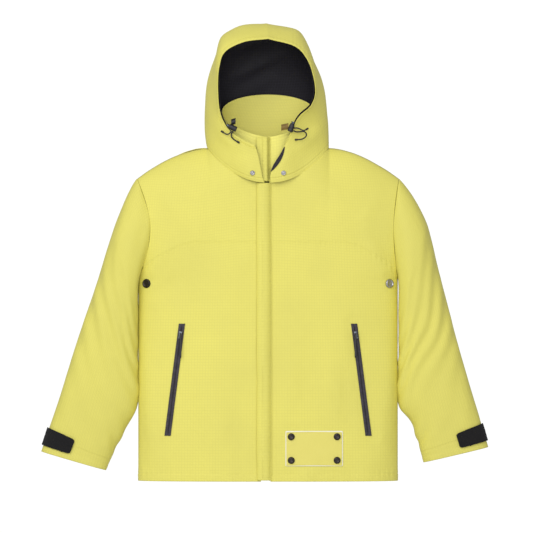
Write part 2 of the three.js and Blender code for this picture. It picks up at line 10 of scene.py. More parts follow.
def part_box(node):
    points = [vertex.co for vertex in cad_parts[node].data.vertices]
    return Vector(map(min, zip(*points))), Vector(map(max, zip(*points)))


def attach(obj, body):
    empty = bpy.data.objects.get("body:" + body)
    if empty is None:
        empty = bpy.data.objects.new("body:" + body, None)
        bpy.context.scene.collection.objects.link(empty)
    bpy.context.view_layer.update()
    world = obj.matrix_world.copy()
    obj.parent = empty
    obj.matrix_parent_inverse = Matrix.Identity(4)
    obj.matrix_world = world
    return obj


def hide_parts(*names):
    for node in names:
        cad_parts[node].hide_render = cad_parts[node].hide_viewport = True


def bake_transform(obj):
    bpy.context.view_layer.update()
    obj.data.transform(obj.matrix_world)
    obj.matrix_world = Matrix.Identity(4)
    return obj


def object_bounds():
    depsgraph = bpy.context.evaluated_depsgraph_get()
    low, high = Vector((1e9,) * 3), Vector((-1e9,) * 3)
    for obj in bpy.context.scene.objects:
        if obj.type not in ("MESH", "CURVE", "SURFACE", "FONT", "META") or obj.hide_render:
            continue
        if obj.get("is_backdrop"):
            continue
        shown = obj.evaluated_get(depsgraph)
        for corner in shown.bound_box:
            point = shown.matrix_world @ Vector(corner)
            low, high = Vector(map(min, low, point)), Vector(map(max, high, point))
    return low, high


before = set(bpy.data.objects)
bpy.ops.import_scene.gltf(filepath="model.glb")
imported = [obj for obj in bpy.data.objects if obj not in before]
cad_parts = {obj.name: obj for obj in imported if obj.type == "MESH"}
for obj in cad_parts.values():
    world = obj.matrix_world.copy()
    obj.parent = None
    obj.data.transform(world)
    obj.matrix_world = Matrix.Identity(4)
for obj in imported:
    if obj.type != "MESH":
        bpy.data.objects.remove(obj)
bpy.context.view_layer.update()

# ---- driving dimensions, in metres; heights are from the hem
ORIGIN_HEIGHT = 0.775            # hem to the hanger loop's top, the frame's origin
ORIGIN_DEPTH = 0.0414            # middle of the body to the origin, along Y
CHEST_HALF = 0.299
BODY_DEPTH = 0.072
DEPTH_PER_HEIGHT = 0.0233
SQUARENESS = 2.6
SHOULDER_HEIGHT = 0.764
SHOULDER_DROP = 0.070
NECK_HALF = 0.140
FRONT_NECK = 0.686
BACK_NECK = 0.752
SHOULDER_TIP = 0.301
UNDERARM = 0.462
ARMHOLE_INSET = {"right": 0.030, "left": 0.012}
YOKE_HEIGHT = 0.546
YOKE_DROP = 0.043
BACK_YOKE_HEIGHT = 0.600
HEM_STITCH = 0.017
ZIP_X = -0.011
FLAP_FREE_X = -0.0265
FLAP_SEWN_X = 0.005
FLAP_STANDOFF = 0.0074
FLAP_TAPE = (0.0030, 0.0085)     # tape on the body under the flap's sewn edge
FABRIC = 0.0015
CHIN_LIFT = 0.0125
HOOD_SHIFT = 0.008
CROWN_TAPER = 0.012
COLLAR_BACK = 0.889
COLLAR_FRONT = 0.789
UPPER_SLEEVE_DEPTH = 0.060
CUFF_DEPTH = 0.034
SIDES = (("right", -1), ("left", 1))

SLEEVE_EDGES = {
    "right": (
        [(0.301, 0.694), (0.328, 0.652), (0.386, 0.478), (0.455, 0.268), (0.521, 0.067)],
        [(0.301, 0.462), (0.2997, 0.400), (0.2997, 0.290), (0.3006, 0.172), (0.332, 0.112),
         (0.373, 0.024)],
    ),
    "left": (
        [(0.301, 0.694), (0.351, 0.629), (0.402, 0.446), (0.458, 0.240), (0.506, 0.077)],
        [(0.301, 0.462), (0.2997, 0.400), (0.2997, 0.290), (0.3006, 0.172), (0.328, 0.134),
         (0.358, 0.042)],
    ),
}
OPENING_EDGE = {
    "right": [(0, 0.762), (0.030, 0.770), (0.060, 0.784), (0.091, 0.807), (0.108, 0.838),
              (0.114, 0.880), (0.112, 0.945), (0.100, 0.980), (0.057, 1.004), (0, 1.012)],
    "left": [(0, 0.762), (0.030, 0.768), (0.043, 0.782), (0.051, 0.798), (0.071, 0.834),
             (0.098, 0.859), (0.108, 0.885), (0.104, 0.925), (0.091, 0.962), (0.066, 0.992),
             (0, 1.012)],
}
CHIN_FRONT = {"left": (0.0068, 0.066), "right": (0.0102, 0.041)}
CHIN_END = 70 / 360
HOOD_CENTRE = 150 / 360


# ---- small maths
def mix(a, b, t):
    return a + (b - a) * t


def smooth(t):
    t = np.clip(t, 0, 1)
    return t * t * (3 - 2 * t)


def bump(t):
    """A round bump: 1 at t = 0, falling to nothing by about 2."""
    return np.exp(-t * t)


def run_along(points):
    """Distance along a path at each of its points."""
    return np.concatenate([[0], np.cumsum(np.linalg.norm(np.diff(points, axis=0), axis=1))])


def shares(columns, rows):
    """Grids of shares from 0 to 1: across the columns, then along the rows."""
    return np.meshgrid(np.linspace(0, 1, columns), np.linspace(0, 1, rows))


def curve_points(points, share):
    """Points at shares of the length of a centripetal Catmull-Rom curve through the points."""
    p = np.array(points, float)
    p = np.vstack([2 * p[0] - p[1], p, 2 * p[-1] - p[-2]])
    t = np.linspace(0, 1, 41)[:, None]
    run = []
    for a, b, c, d in zip(p, p[1:], p[2:], p[3:]):
        d0, d1, d2 = (math.sqrt(math.dist(*pair)) for pair in ((a, b), (b, c), (c, d)))
        m1 = ((b - a) / d0 - (c - a) / (d0 + d1) + (c - b) / d1) * d1
        m2 = ((c - b) / d1 - (d - b) / (d1 + d2) + (d - c) / d2) * d1
        run.append((2 * t**3 - 3 * t**2 + 1) * b + (t**3 - 2 * t**2 + t) * m1
                   + (3 * t**2 - 2 * t**3) * c + (t**3 - t**2) * m2)
    run = np.vstack(run)
    length = run_along(run)
    at = np.clip(share, 0, 1) * length[-1]
    return np.stack([np.interp(at, length, run[:, k]) for k in range(p.shape[1])], axis=-1)


def in_frame(p):
    """From body-centred places with heights above the hem to the frame's."""
    return p - np.array([0, ORIGIN_DEPTH, ORIGIN_HEIGHT])


# ---- the jacket's surfaces
def shoulder_line(x):
    x = np.abs(x)
    past = np.maximum(x - NECK_HALF, 0) / (SHOULDER_TIP - NECK_HALF)
    inside = SHOULDER_HEIGHT + 0.122 * (1 - (x / NECK_HALF) ** 2)
    return np.where(x < NECK_HALF, inside, SHOULDER_HEIGHT - SHOULDER_DROP * past**1.7)


SHOULDER_TIP_HEIGHT = float(shoulder_line(SHOULDER_TIP))


def top_edge(x, neck):
    across = np.minimum(1, np.abs(x) / NECK_HALF)
    return np.where(across < 1, mix(neck, SHOULDER_HEIGHT, across**2.2), shoulder_line(x))


def edge_x(z, inset):
    rise = np.clip((z - UNDERARM) / (SHOULDER_TIP_HEIGHT - UNDERARM), 0, 1)
    return mix(CHEST_HALF, SHOULDER_TIP, rise) - inset * np.sin(math.pi * rise)


def section_half(z, inset):
    return edge_x(z, inset) + 0.060 * np.clip((z - UNDERARM) / 0.140, 0, 1)


def centre_depth(z):
    return BODY_DEPTH - DEPTH_PER_HEIGHT * z


def body_depth(x, z, inset):
    across = np.minimum(1, np.abs(x) / section_half(z, inset))
    closing = np.clip(1 - (shoulder_line(x) - z) / 0.200, 0, 1)
    return (centre_depth(z) * (1 - across**SQUARENESS) ** (1 / SQUARENESS)
            * np.sqrt(np.maximum(0, 1 - closing**2.4)))


def front_yoke(x):
    return YOKE_HEIGHT - YOKE_DROP * np.maximum(0, (np.abs(x) - 0.170) / 0.097) ** 1.5


def body_surface(u, v, sign, face, neck, x_inner):
    """Front or back half of the body from the centre (u 0) to the side (u 1), hem to top."""
    inset = ARMHOLE_INSET["right" if sign < 0 else "left"]
    z = np.broadcast_to(v * FRONT_NECK, np.broadcast(u, v).shape).astype(float)
    power = SQUARENESS / 2
    for _ in range(14):
        half = section_half(z, inset)
        end = np.arcsin(np.minimum(1, (edge_x(z, inset) / half) ** power))
        start = np.arcsin((x_inner / half) ** power)
        x = half * np.sin(mix(start, end, u)) ** (1 / power)
        z = (z + v * top_edge(x, neck)) / 2
    return np.stack([sign * x, face * body_depth(x, z, inset), z], axis=-1)


def sleeve_surface(u, v, name, sign):
    """A sleeve: u goes round from the outer edge over the front, v from armhole to cuff."""
    u, v = np.broadcast_arrays(u, v)
    turn = 2 * math.pi * u
    outer, inner = (curve_points(edge, v) for edge in SLEEVE_EDGES[name])
    inset = ARMHOLE_INSET[name]
    squash = 0.86 - 0.1 * v
    c = np.sign(np.cos(turn)) * np.abs(np.cos(turn)) ** squash
    s = np.sign(np.sin(turn)) * np.abs(np.sin(turn)) ** squash
    depth = mix(UPPER_SLEEVE_DEPTH, CUFF_DEPTH, np.maximum(0, (v - 0.12) / 0.88))
    edge = (outer + inner) / 2 + (outer - inner) * (c / 2)[..., None]
    point = np.stack([edge[..., 0], -depth * s, edge[..., 1]], axis=-1)
    z = mix(UNDERARM, SHOULDER_TIP_HEIGHT, (1 + np.cos(turn)) / 2)
    x = edge_x(z, inset)
    seam = np.stack([x + 0.0004, -np.sign(s) * body_depth(x, z, inset), z], axis=-1)
    point = mix(point, seam, (1 - smooth(v / 0.2))[..., None])
    return point * np.array([sign, 1, 1])


def neck_loop(turn, inwards=0.0):
    angle = 2 * math.pi * turn
    front = np.cos(angle) > 0
    x = NECK_HALF * np.sin(angle)
    z = np.where(front, top_edge(x, FRONT_NECK), top_edge(x, BACK_NECK))
    depth = body_depth(x, z, 0.0)
    lift = 0 if inwards else CHIN_LIFT * (1 - smooth((np.abs(x) - 0.030) / 0.060)) * front
    y = np.maximum(0, depth - inwards) + lift
    return np.stack([x * (1 - inwards / NECK_HALF), np.where(front, -y, y), z + 0.0006], axis=-1)


def opening_loop(turn):
    wrapped = turn % 1
    half = 1 - np.abs(1 - 2 * wrapped)
    left = curve_points(OPENING_EDGE["left"], half)
    right = curve_points(OPENING_EDGE["right"], half) * np.array([-1, 1])
    point = np.where((wrapped > 0.5)[..., None], right, left)
    y = -0.072 - 0.020 * smooth((point[..., 1] - 0.762) / 0.200)
    return np.stack([point[..., 0], y, point[..., 1]], axis=-1)


def hood_surface(turn, v):
    """The hood from the neck seam (v 0) to the face opening (v 1); turn 0 is the front centre,
    a quarter is the wearer's left and a half is the back."""
    turn, v = np.broadcast_arrays(turn, v)
    back = (1 - np.cos(2 * math.pi * turn)) / 2
    side = np.sin(2 * math.pi * turn)
    start, end = neck_loop(turn), opening_loop(turn)
    low = start + np.stack([side * mix(0.004, 0.016, back) - HOOD_SHIFT,
                            mix(-0.006, 0.104, back**1.6), mix(0.022, 0.108, back)], axis=-1)
    high = end + np.stack([side * mix(0.002, 0.030, back) - HOOD_SHIFT * back,
                           mix(-0.001, 0.172, back**1.4),
                           mix(-0.022, 0.146, back**1.8) + 0.095 * (side * back) ** 2], axis=-1)
    t = v[..., None]
    point = ((1 - t) ** 3 * start + 3 * (1 - t) ** 2 * t * low + 3 * (1 - t) * t * t * high
             + t**3 * end)
    # the crown draws in at its upper corners, behind the opening
    corner = bump((point[..., 2] - 0.985) / 0.050) * smooth((1 - v) / 0.30)
    point[..., 0] -= CROWN_TAPER * np.tanh(point[..., 0] / 0.05) * corner
    return point


def collar_surface(turn, v):
    """The stand collar inside the hood, from its foot to its top edge."""
    turn, v = np.broadcast_arrays(turn, v)
    angle = 2 * math.pi * turn
    back = (1 - np.cos(angle)) / 2
    foot = neck_loop(turn, FABRIC + 0.0007)
    top = np.stack([0.106 * np.sin(angle), mix(-0.0514, 0.050, back),
                    mix(COLLAR_FRONT, COLLAR_BACK, back**0.75)], axis=-1)
    return mix(foot, top, v[..., None])


# ---- camera and light
FAR = 12.0                       # a long lens from far away, so the sides stay nearly parallel
AIM = Vector((-0.0035, -ORIGIN_DEPTH, -0.283))
camera_data = bpy.data.cameras.new("camera")
camera_data.sensor_width = 36
camera_data.lens = 352.4
camera = bpy.data.objects.new("camera", camera_data)
camera.location = AIM - Vector((0, FAR, 0))
camera.rotation_euler = (math.pi / 2, 0, 0)
bpy.context.collection.objects.link(camera)
bpy.context.scene.camera = camera
bpy.context.scene.view_settings.view_transform = "Standard"


def soft_light(name, place, size, power):
    data = bpy.data.lights.new(name, "AREA")
    data.size = size
    data.energy = power
    lamp = bpy.data.objects.new(name, data)
    lamp.location = place
    lamp.rotation_euler = (AIM - Vector(place)).to_track_quat("-Z", "Y").to_euler()
    bpy.context.collection.objects.link(lamp)


soft_light("key", (-1.6, -3.2, 1.8), 3.4, 76)
soft_light("front", (0.5, -4.6, 0.5), 2.6, 55)
world = bpy.data.worlds.new("studio")
world.use_nodes = True
world.node_tree.nodes["Background"].inputs["Color"].default_value = (1, 1, 1, 1)
world.node_tree.nodes["Background"].inputs["Strength"].default_value = 0.42
bpy.context.scene.world = world


def stage_plane(name, corners, material):
    mesh = bpy.data.meshes.new(name)
    mesh.from_pydata(corners, [], [(0, 1, 2, 3)])
    mesh.materials.append(material)
    obj = bpy.data.objects.new(name, mesh)
    bpy.context.collection.objects.link(obj)
    obj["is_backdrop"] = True


def plain(name, sockets):
    material = bpy.data.materials.new(name)
    material.use_nodes = True
    for key, value in sockets.items():
        material.node_tree.nodes["Principled BSDF"].inputs[key].default_value = value
    return material


glow = plain("lit_backdrop", {"Base Color": (0, 0, 0, 1), "Emission Color": (1, 1, 1, 1),
                              "Emission Strength": 1.02})
pale = plain("pale_floor", {"Base Color": (0.86, 0.86, 0.85, 1), "Roughness": 0.8})
BACKDROP_Y = 14.0                # beyond the camera's distance, so every view angle is clear
FLOOR_Z = -1.20
stage_plane("backdrop", [(-3, BACKDROP_Y, -3), (3, BACKDROP_Y, -3), (3, BACKDROP_Y, 3),
                         (-3, BACKDROP_Y, 3)], glow)
stage_plane("floor", [(-2, -2, FLOOR_Z), (2, -2, FLOOR_Z), (2, 2, FLOOR_Z), (-2, 2, FLOOR_Z)], pale)


# ---- materials
class Look:
    """A procedural material whose nodes are added one by one."""

    def __init__(self, name, roughness, metallic=0.0, sheen=0.0):
        self.material = bpy.data.materials.new(name)
        self.material.use_nodes = True
        self.tree = self.material.node_tree
        self.shader = self.tree.nodes["Principled BSDF"]
        self.shader.inputs["Roughness"].default_value = roughness
        self.shader.inputs["Metallic"].default_value = metallic
        self.shader.inputs["Sheen Weight"].default_value = sheen

    def add(self, kind, settings=None, **inputs):
        node = self.tree.nodes.new(kind)
        for key, value in (settings or {}).items():
            setattr(node, key, value)
        for key, value in inputs.items():
            socket = node.inputs[int(key[1:])] if key[1:].isdigit() else node.inputs[key]
            if isinstance(value, bpy.types.NodeSocket):
                self.tree.links.new(value, socket)
            else:
                socket.default_value = value
        return node.outputs

    def place(self):
        return self.add("ShaderNodeTexCoord")[3]

    def on_cloth(self):
        """Distances across and along the cloth, in metres."""
        where = self.add("ShaderNodeUVMap", {"uv_map": "cloth"})[0]
        return self.add("ShaderNodeSeparateXYZ", None, i0=where)

    def maths(self, operation, a, b=0.0):
        return self.add("ShaderNodeMath", {"operation": operation}, i0=a, i1=b)[0]

    def ramp(self, value, low, high, start=0.0, end=1.0):
        return self.add("ShaderNodeMapRange", None, i0=value, i1=low, i2=high, i3=start, i4=end)[0]

    def tint(self, share, a, b):
        """A colour between a and b by the share."""
        out = self.add("ShaderNodeMix", {"data_type": "RGBA"}, i0=share, i6=a, i7=b)
        return out[2]

    def noise(self, where, scale, detail=2.0):
        return self.add("ShaderNodeTexNoise", None, Vector=where, Scale=scale, Detail=detail)[0]

    def bump(self, height, distance, before=None):
        out = self.add("ShaderNodeBump", None, Height=height, Distance=distance)
        if before is not None:
            self.tree.links.new(before, out[0].node.inputs["Normal"])
        return out[0]

    def finish(self, color, normal, roughness=None):
        self.tree.links.new(color, self.shader.inputs["Base Color"])
        self.tree.links.new(normal, self.shader.inputs["Normal"])
        if roughness is not None:
            self.tree.links.new(roughness, self.shader.inputs["Roughness"])
        return self.material


def shade(color, factor):
    return tuple(c * factor for c in color[:3]) + (1,)


RIPSTOP_PITCH = 0.0065
YARN_PITCH = 0.0005
STRAND_PITCH = 0.0016


def woven(name, color, line_gain, roughness, sheen, wear=0.05):
    """Ripstop cloth: a grid of thicker yarns over a fine weave, with slight blotches and creases."""
    look = Look(name, roughness, sheen=sheen)
    split = look.on_cloth()
    lines = []
    yarns = []
    for axis in (0, 1):
        cell = look.maths("FRACT", look.maths("DIVIDE", split[axis], RIPSTOP_PITCH))
        away = look.maths("ABSOLUTE", look.maths("SUBTRACT", cell, 0.5))
        lines.append(look.ramp(away, 0.36, 0.47))
        yarn = look.maths("MULTIPLY", split[axis], 2 * math.pi / YARN_PITCH)
        yarns.append(look.maths("SINE", yarn))
    grid = look.maths("MAXIMUM", *lines)
    weave = look.maths("MULTIPLY", *yarns)
    place = look.place()
    blotch = look.noise(place, 7.0, 4.0)
    crease = look.noise(place, 90.0, 5.0)
    base = look.tint(look.ramp(blotch, 0.3, 0.7), shade(color, 1 - wear), shade(color, 1 + wear / 2))
    lined = look.tint(look.maths("MULTIPLY", grid, 0.55), base, shade(color, line_gain))
    relief = look.bump(weave, 0.00002)
    relief = look.bump(grid, 0.00008, relief)
    relief = look.bump(crease, 0.0006, relief)
    return look.finish(lined, relief, look.ramp(blotch, 0.2, 0.8, roughness - 0.06, roughness + 0.06))


def pile(name, color):
    """The short looped pile of hook-and-loop."""
    look = Look(name, 0.97, sheen=0.02)
    place = look.place()
    loops = look.add("ShaderNodeTexVoronoi", None, Vector=place, Scale=900.0)[0]
    fuzz = look.noise(place, 260.0, 6.0)
    base = look.tint(fuzz, shade(color, 0.5), shade(color, 1.9))
    relief = look.bump(loops, 0.0006)
    return look.finish(base, look.bump(fuzz, 0.0010, relief))


def tape(name, color):
    """Zip tape and coated welts: a twill with a dull coating, lighter where it has rubbed."""
    look = Look(name, 0.62, sheen=0.05)
    place = look.place()
    twill = look.add("ShaderNodeTexWave", {"bands_direction": "DIAGONAL"}, Vector=place, Scale=260.0)[1]
    rub = look.noise(place, 120.0, 5.0)
    base = look.tint(look.ramp(rub, 0.4, 0.75), shade(color, 0.75), shade(color, 1.5))
    relief = look.bump(twill, 0.00008)
    return look.finish(base, look.bump(rub, 0.0003, relief))


def metal(name, color, roughness, scratch):
    """Plated metal with fine scratches and darker blotches."""
    look = Look(name, roughness, metallic=1.0)
    place = look.place()
    tarnish = look.noise(place, 260.0, 6.0)
    fine = look.noise(place, 1800.0, 3.0)
    base = look.tint(look.ramp(tarnish, 0.35, 0.7), shade(color, 0.72), shade(color, 1.12))
    rough = look.ramp(tarnish, 0.3, 0.75, roughness - 0.08, roughness + 0.16)
    return look.finish(base, look.bump(fine, scratch), rough)


def plastic(name, color, roughness):
    """Moulded plastic with a fine grain and rubbed patches."""
    look = Look(name, roughness)
    place = look.place()
    grain = look.noise(place, 1500.0, 3.0)
    rub = look.noise(place, 160.0, 4.0)
    base = look.tint(look.ramp(rub, 0.45, 0.8), shade(color, 0.85), shade(color, 1.8))
    rough = look.ramp(rub, 0.3, 0.8, roughness - 0.05, roughness + 0.15)
    return look.finish(base, look.bump(grain, 0.00006), rough)


def braid(name, color):
    """Braided cord: two sets of strands that cross along the tube's length."""
    look = Look(name, 0.75, sheen=0.1)
    split = look.on_cloth()
    along = look.maths("MULTIPLY", split[1], 2 * math.pi / STRAND_PITCH)
    around = look.maths("MULTIPLY", split[0], 2 * math.pi / STRAND_PITCH)
    one = look.maths("SINE", look.maths("ADD", along, around))
    two = look.maths("SINE", look.maths("SUBTRACT", along, around))
    strands = look.maths("MAXIMUM", one, two)
    base = look.tint(look.ramp(strands, -1, 1), shade(color, 0.5), shade(color, 2.4))
    return look.finish(base, look.bump(strands, 0.0002))


def patch_cloth(name, color, border):
    """The label: coated cloth with a thin pale line a little inside its edge."""
    look = Look(name, 0.5, sheen=0.03)
    split = look.on_cloth()
    inside = []
    for axis, size in ((0, LABEL_WIDTH), (1, LABEL_HEIGHT)):
        middle = look.maths("ABSOLUTE", look.maths("SUBTRACT", split[axis], size / 2))
        inside.append(look.maths("SUBTRACT", size / 2, middle))
    edge = look.maths("MINIMUM", *inside)
    line = look.maths("LESS_THAN", edge, LABEL_BORDER)
    place = look.place()
    speck = look.noise(place, 500.0, 4.0)
    cloth = look.tint(speck, shade(color, 0.95), shade(color, 1.04))
    pale = look.tint(speck, shade(border, 0.93), shade(border, 1.0))
    return look.finish(look.tint(line, cloth, pale), look.bump(speck, 0.0001))


LABEL_WIDTH = 0.132
LABEL_HEIGHT = 0.081
LABEL_BORDER = 0.0022
YELLOW = (0.822, 0.756, 0.152)
SHELL = woven("shell_ripstop", YELLOW, 0.88, 0.66, 0.06)
# The sleeves take a darker copy of the shell's yellow: painted shade, for the lesser light they catch.
SHADED_SLEEVE_SHELL = woven("sleeve_ripstop_painted_shade", shade(YELLOW, 0.955), 0.88, 0.66, 0.06)
# The stand collar takes a brighter copy of the shell's yellow: painted light, offsetting the shade the
# hood throws into it.
LIT_COLLAR_SHELL = woven("collar_ripstop_painted_light", (0.96, 0.89, 0.200), 0.90, 0.66, 0.06)
LINING = woven("lining_ripstop", (0.0100, 0.0086, 0.0145), 2.6, 0.70, 0.03, 0.3)
FLEECE = pile("loop_pile", (0.0050, 0.0044, 0.0052))
ZIP_TAPE = tape("zip_welt", (0.036, 0.030, 0.042))
THREAD = woven("seam_thread", shade(YELLOW, 0.80), 1.1, 0.7, 0.10)
DARK_METAL = metal("gunmetal", (0.060, 0.052, 0.050), 0.38, 0.00002)
# Pale metal: on the left chest cap it is a painted reflection, the two chest caps being one gunmetal
# part; the collar caps take it too.
PALE_METAL_AND_PAINTED_REFLECTION = metal("pale_metal_and_painted_reflection", (0.46, 0.45, 0.47), 0.30, 0.00002)
# Blue-grey metal for the pocket sliders and the lock buttons: a painted glint, their blue-grey highlights
# given as the metal's colour.
PAINTED_GLINT_METAL = metal("blue_grey_painted_glint", (0.20, 0.22, 0.26), 0.34, 0.00002)
BLACK_PLASTIC = plastic("black_plastic", (0.011, 0.011, 0.014), 0.42)
BRAID = braid("braided_cord", (0.013, 0.013, 0.016))
# Brown for the left cord keeper: painted shade, the yellow tape darkened where it lies in shadow.
PAINTED_SHADE_KEEPER = tape("cord_keeper", (0.27, 0.17, 0.035))
LABEL = patch_cloth("label_cloth", (0.80, 0.715, 0.150), (0.93, 0.90, 0.74))


# ---- mesh helpers
def soft_noise(points, pitch, seed):
    """Smooth noise from -1 to 1 over a lattice of random values, one for each pitch."""
    cells = np.random.default_rng(seed).uniform(-1, 1, (32, 32, 32))
    at = points / np.array(pitch)
    low = np.floor(at).astype(int)
    share = smooth(at - low)
    total = 0
    for corner in np.ndindex(2, 2, 2):
        weight = np.prod(np.where(corner, share, 1 - share), axis=-1)
        i, j, k = np.moveaxis((low + corner) % 32, -1, 0)
        total = total + weight * cells[i, j, k]
    return total


def fold(x, z, start, end, width, height):
    """A soft ridge (or a furrow, when the height is negative) along a segment."""
    (x0, z0), (x1, z1) = start, end
    along = ((x - x0) * (x1 - x0) + (z - z0) * (z1 - z0)) / ((x1 - x0) ** 2 + (z1 - z0) ** 2)
    near = np.clip(along, 0, 1)
    off = np.hypot(x - mix(x0, x1, near), z - mix(z0, z1, near))
    return height * bump(off / width) * (0.35 + 0.65 * np.sin(math.pi * near))


def seam(distance, depth=0.0007):
    """A seam: a narrow groove between two slight rolls."""
    return 0.55 * depth * bump(distance / 0.0045) - 1.5 * depth * bump(distance / 0.0014)


def normals_of(grid, outward):
    du = np.gradient(grid, axis=1)
    dv = np.gradient(grid, axis=0)
    cross = np.cross(du, dv) * outward
    return cross / np.maximum(np.linalg.norm(cross, axis=-1, keepdims=True), 1e-12)


def lengths(grid, axis):
    """Arc length along an axis of the grid, from its first row or column."""
    step = np.linalg.norm(np.diff(grid, axis=axis), axis=-1)
    zero = np.zeros_like(np.take(step, [0], axis=axis))
    return np.cumsum(np.concatenate([zero, step], axis=axis), axis=axis)


def make(name, points, faces, material, body, uvs=None):
    mesh = bpy.data.meshes.new(name)
    mesh.from_pydata(np.asarray(points, float).tolist(), [], faces)
    mesh.materials.append(material)
    layer = mesh.uv_layers.new(name="cloth")
    if uvs is not None:
        corners = np.empty(len(mesh.loops), np.int32)
        mesh.loops.foreach_get("vertex_index", corners)
        layer.data.foreach_set("uv", np.asarray(uvs, float)[corners].ravel())
    mesh.polygons.foreach_set("use_smooth", [True] * len(mesh.polygons))
    obj = bpy.data.objects.new(name, mesh)
    bpy.context.collection.objects.link(obj)
    if body:
        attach(obj, body)
    return obj


def cloth(name, grid, outward, material, body, relief=0.0, thickness=0.0012, inner=None, loop=False):
    """A cloth piece from a grid of points (rows, columns), with its relief and its thickness."""
    rows, columns = grid.shape[:2]
    normal = normals_of(grid, outward)
    if loop:
        normal[:, 0] = normal[:, -1] = (normal[:, 0] + normal[:, -1]) / 2
    points = in_frame(grid + normal * np.broadcast_to(relief, (rows, columns))[..., None])
    uvs = np.stack([lengths(grid, 1), lengths(grid, 0)], axis=-1).reshape(-1, 2)
    faces = []
    for j in range(rows - 1):
        for i in range(columns - 1):
            a = j * columns + i
            quad = (a, a + 1, a + columns + 1, a + columns)
            faces.append(quad if outward > 0 else quad[::-1])
    obj = make(name, points.reshape(-1, 3), faces, material, body, uvs)
    if loop:
        weld = obj.modifiers.new("weld", "WELD")
        weld.merge_threshold = 0.0001
    if inner:
        obj.data.materials.append(inner)
    solid = obj.modifiers.new("thickness", "SOLIDIFY")
    solid.thickness = thickness
    solid.offset = -1
    solid.material_offset = 1 if inner else 0
    return obj


def spaced(count, ends=1.0):
    """Shares from 0 to 1 that crowd towards both ends when ends is above 1."""
    t = np.linspace(0, 1, count)
    return t if ends == 1 else 0.5 + 0.5 * np.sign(2 * t - 1) * np.abs(2 * t - 1) ** (1 / ends)


def stitches(name, points, normals, body, pitch=0.0034, size=0.00032, material=None):
    """A row of separate thread stitches, each a small humped loaf lying along the path."""
    points = np.asarray(points)
    run = run_along(points)
    count = max(1, int(run[-1] / pitch))
    verts = []
    faces = []
    for k in range(count):
        marks = run[-1] * (k + np.array([0.12, 0.5, 0.88])) / count
        ring = []
        for mark, rise in zip(marks, (0.0, 1.0, 0.0)):
            at = np.array([np.interp(mark, run, points[:, c]) for c in range(3)])
            up = np.array([np.interp(mark, run, normals[:, c]) for c in range(3)])
            ahead = np.array([np.interp(mark + 0.0005, run, points[:, c]) for c in range(3)])
            behind = np.array([np.interp(mark - 0.0005, run, points[:, c]) for c in range(3)])
            side = np.cross(ahead - behind, up)
            side = side / max(np.linalg.norm(side), 1e-9) * size * (0.5 + 0.5 * rise)
            base = at - up * 0.0002
            ring.append((base - side, at + up * size * (0.2 + rise), base + side))
        start = len(verts)
        for section in ring:
            verts.extend(section)
        for j in (0, 1):
            for i in range(3):
                a = start + 3 * j + i
                b = start + 3 * j + (i + 1) % 3
                faces.append((a, b, b + 3, a + 3))
        faces.append((start + 2, start + 1, start))
        faces.append((start + 6, start + 7, start + 8))
    return make(name, in_frame(np.array(verts)), faces, material or THREAD, body)


def ring_faces(rings, around):
    """Faces of a closed bar whose points lie in equal rings, with both ends capped."""
    faces = []
    for j in range(rings - 1):
        for k in range(around):
            a = j * around + k
            b = j * around + (k + 1) % around
            faces.append((a, b, b + around, a + around))
    faces.append(tuple(range(around))[::-1])
    faces.append(tuple(range((rings - 1) * around, rings * around)))
    return faces


def turned(name, profile, matrix, material, body, segments=48):
    """A round piece from (radius, height) pairs, its axis along the matrix's local Z."""
    verts = []
    for radius, height in profile:
        for k in range(segments):
            angle = 2 * math.pi * k / segments
            reach = max(radius, 1e-5)
            verts.append((reach * math.cos(angle), reach * math.sin(angle), height))
    placed = [tuple(matrix @ Vector(v)) for v in verts]
    return make(name, placed, ring_faces(len(profile), segments), material, body)


def block(name, sections, matrix, material, body, corner=0.5, around=24):
    """A rounded bar from sections (height, half width, half depth, x, y) along local Z."""
    verts = []
    for height, half_x, half_y, x, y in sections:
        for k in range(around):
            angle = 2 * math.pi * k / around
            c, s = math.cos(angle), math.sin(angle)
            px = x + half_x * math.copysign(abs(c) ** corner, c)
            py = y + half_y * math.copysign(abs(s) ** corner, s)
            verts.append((px, py, height))
    placed = [tuple(matrix @ Vector(v)) for v in verts]
    return make(name, placed, ring_faces(len(sections), around), material, body)


def seat_matrix(point, normal, up=(0, 0, 1)):
    """Local Z leaves along the normal and local Y is as near to up as it can be."""
    z = Vector(normal).normalized()
    x = Vector(up).cross(z).normalized()
    y = z.cross(x)
    matrix = Matrix((x, y, z)).transposed().to_4x4()
    matrix.translation = Vector(point)
    return matrix


# ---- body
CELL = 0.0030

FRONT_FOLDS = [
    ((-0.285, 0.455), (-0.215, 0.560), 0.018, 0.0030), ((-0.280, 0.420), (-0.190, 0.470), 0.020, -0.0024),
    ((0.285, 0.450), (0.225, 0.565), 0.018, 0.0030), ((0.280, 0.415), (0.200, 0.455), 0.020, -0.0022),
    ((-0.150, 0.640), (-0.175, 0.500), 0.024, 0.0018), ((0.150, 0.655), (0.185, 0.520), 0.024, 0.0018),
    ((-0.275, 0.300), (-0.262, 0.060), 0.020, 0.0026), ((0.278, 0.310), (0.268, 0.050), 0.020, 0.0026),
    ((-0.130, 0.300), (-0.120, 0.020), 0.026, 0.0020), ((0.055, 0.330), (0.050, 0.130), 0.024, 0.0016),
    ((0.140, 0.330), (0.150, 0.180), 0.024, 0.0018), ((-0.070, 0.200), (-0.066, 0.010), 0.022, -0.0018),
    ((-0.100, 0.690), (-0.190, 0.640), 0.020, 0.0016), ((0.100, 0.690), (0.200, 0.640), 0.020, 0.0016),
    ((-0.245, 0.660), (-0.205, 0.600), 0.016, 0.0014), ((0.250, 0.655), (0.215, 0.590), 0.016, 0.0014),
]
CHEST_SNAP = (0.279, 0.453)
COLLAR_SNAP = (0.0353, 0.706)
RIVET_INSET = 0.0135
POCKET_TOP = (0.197, 0.361)
POCKET_BOTTOM = (0.230, 0.1045)
POCKET_WIDTH = 0.0145
LABEL_CENTRE = (0.1056, 0.0757)


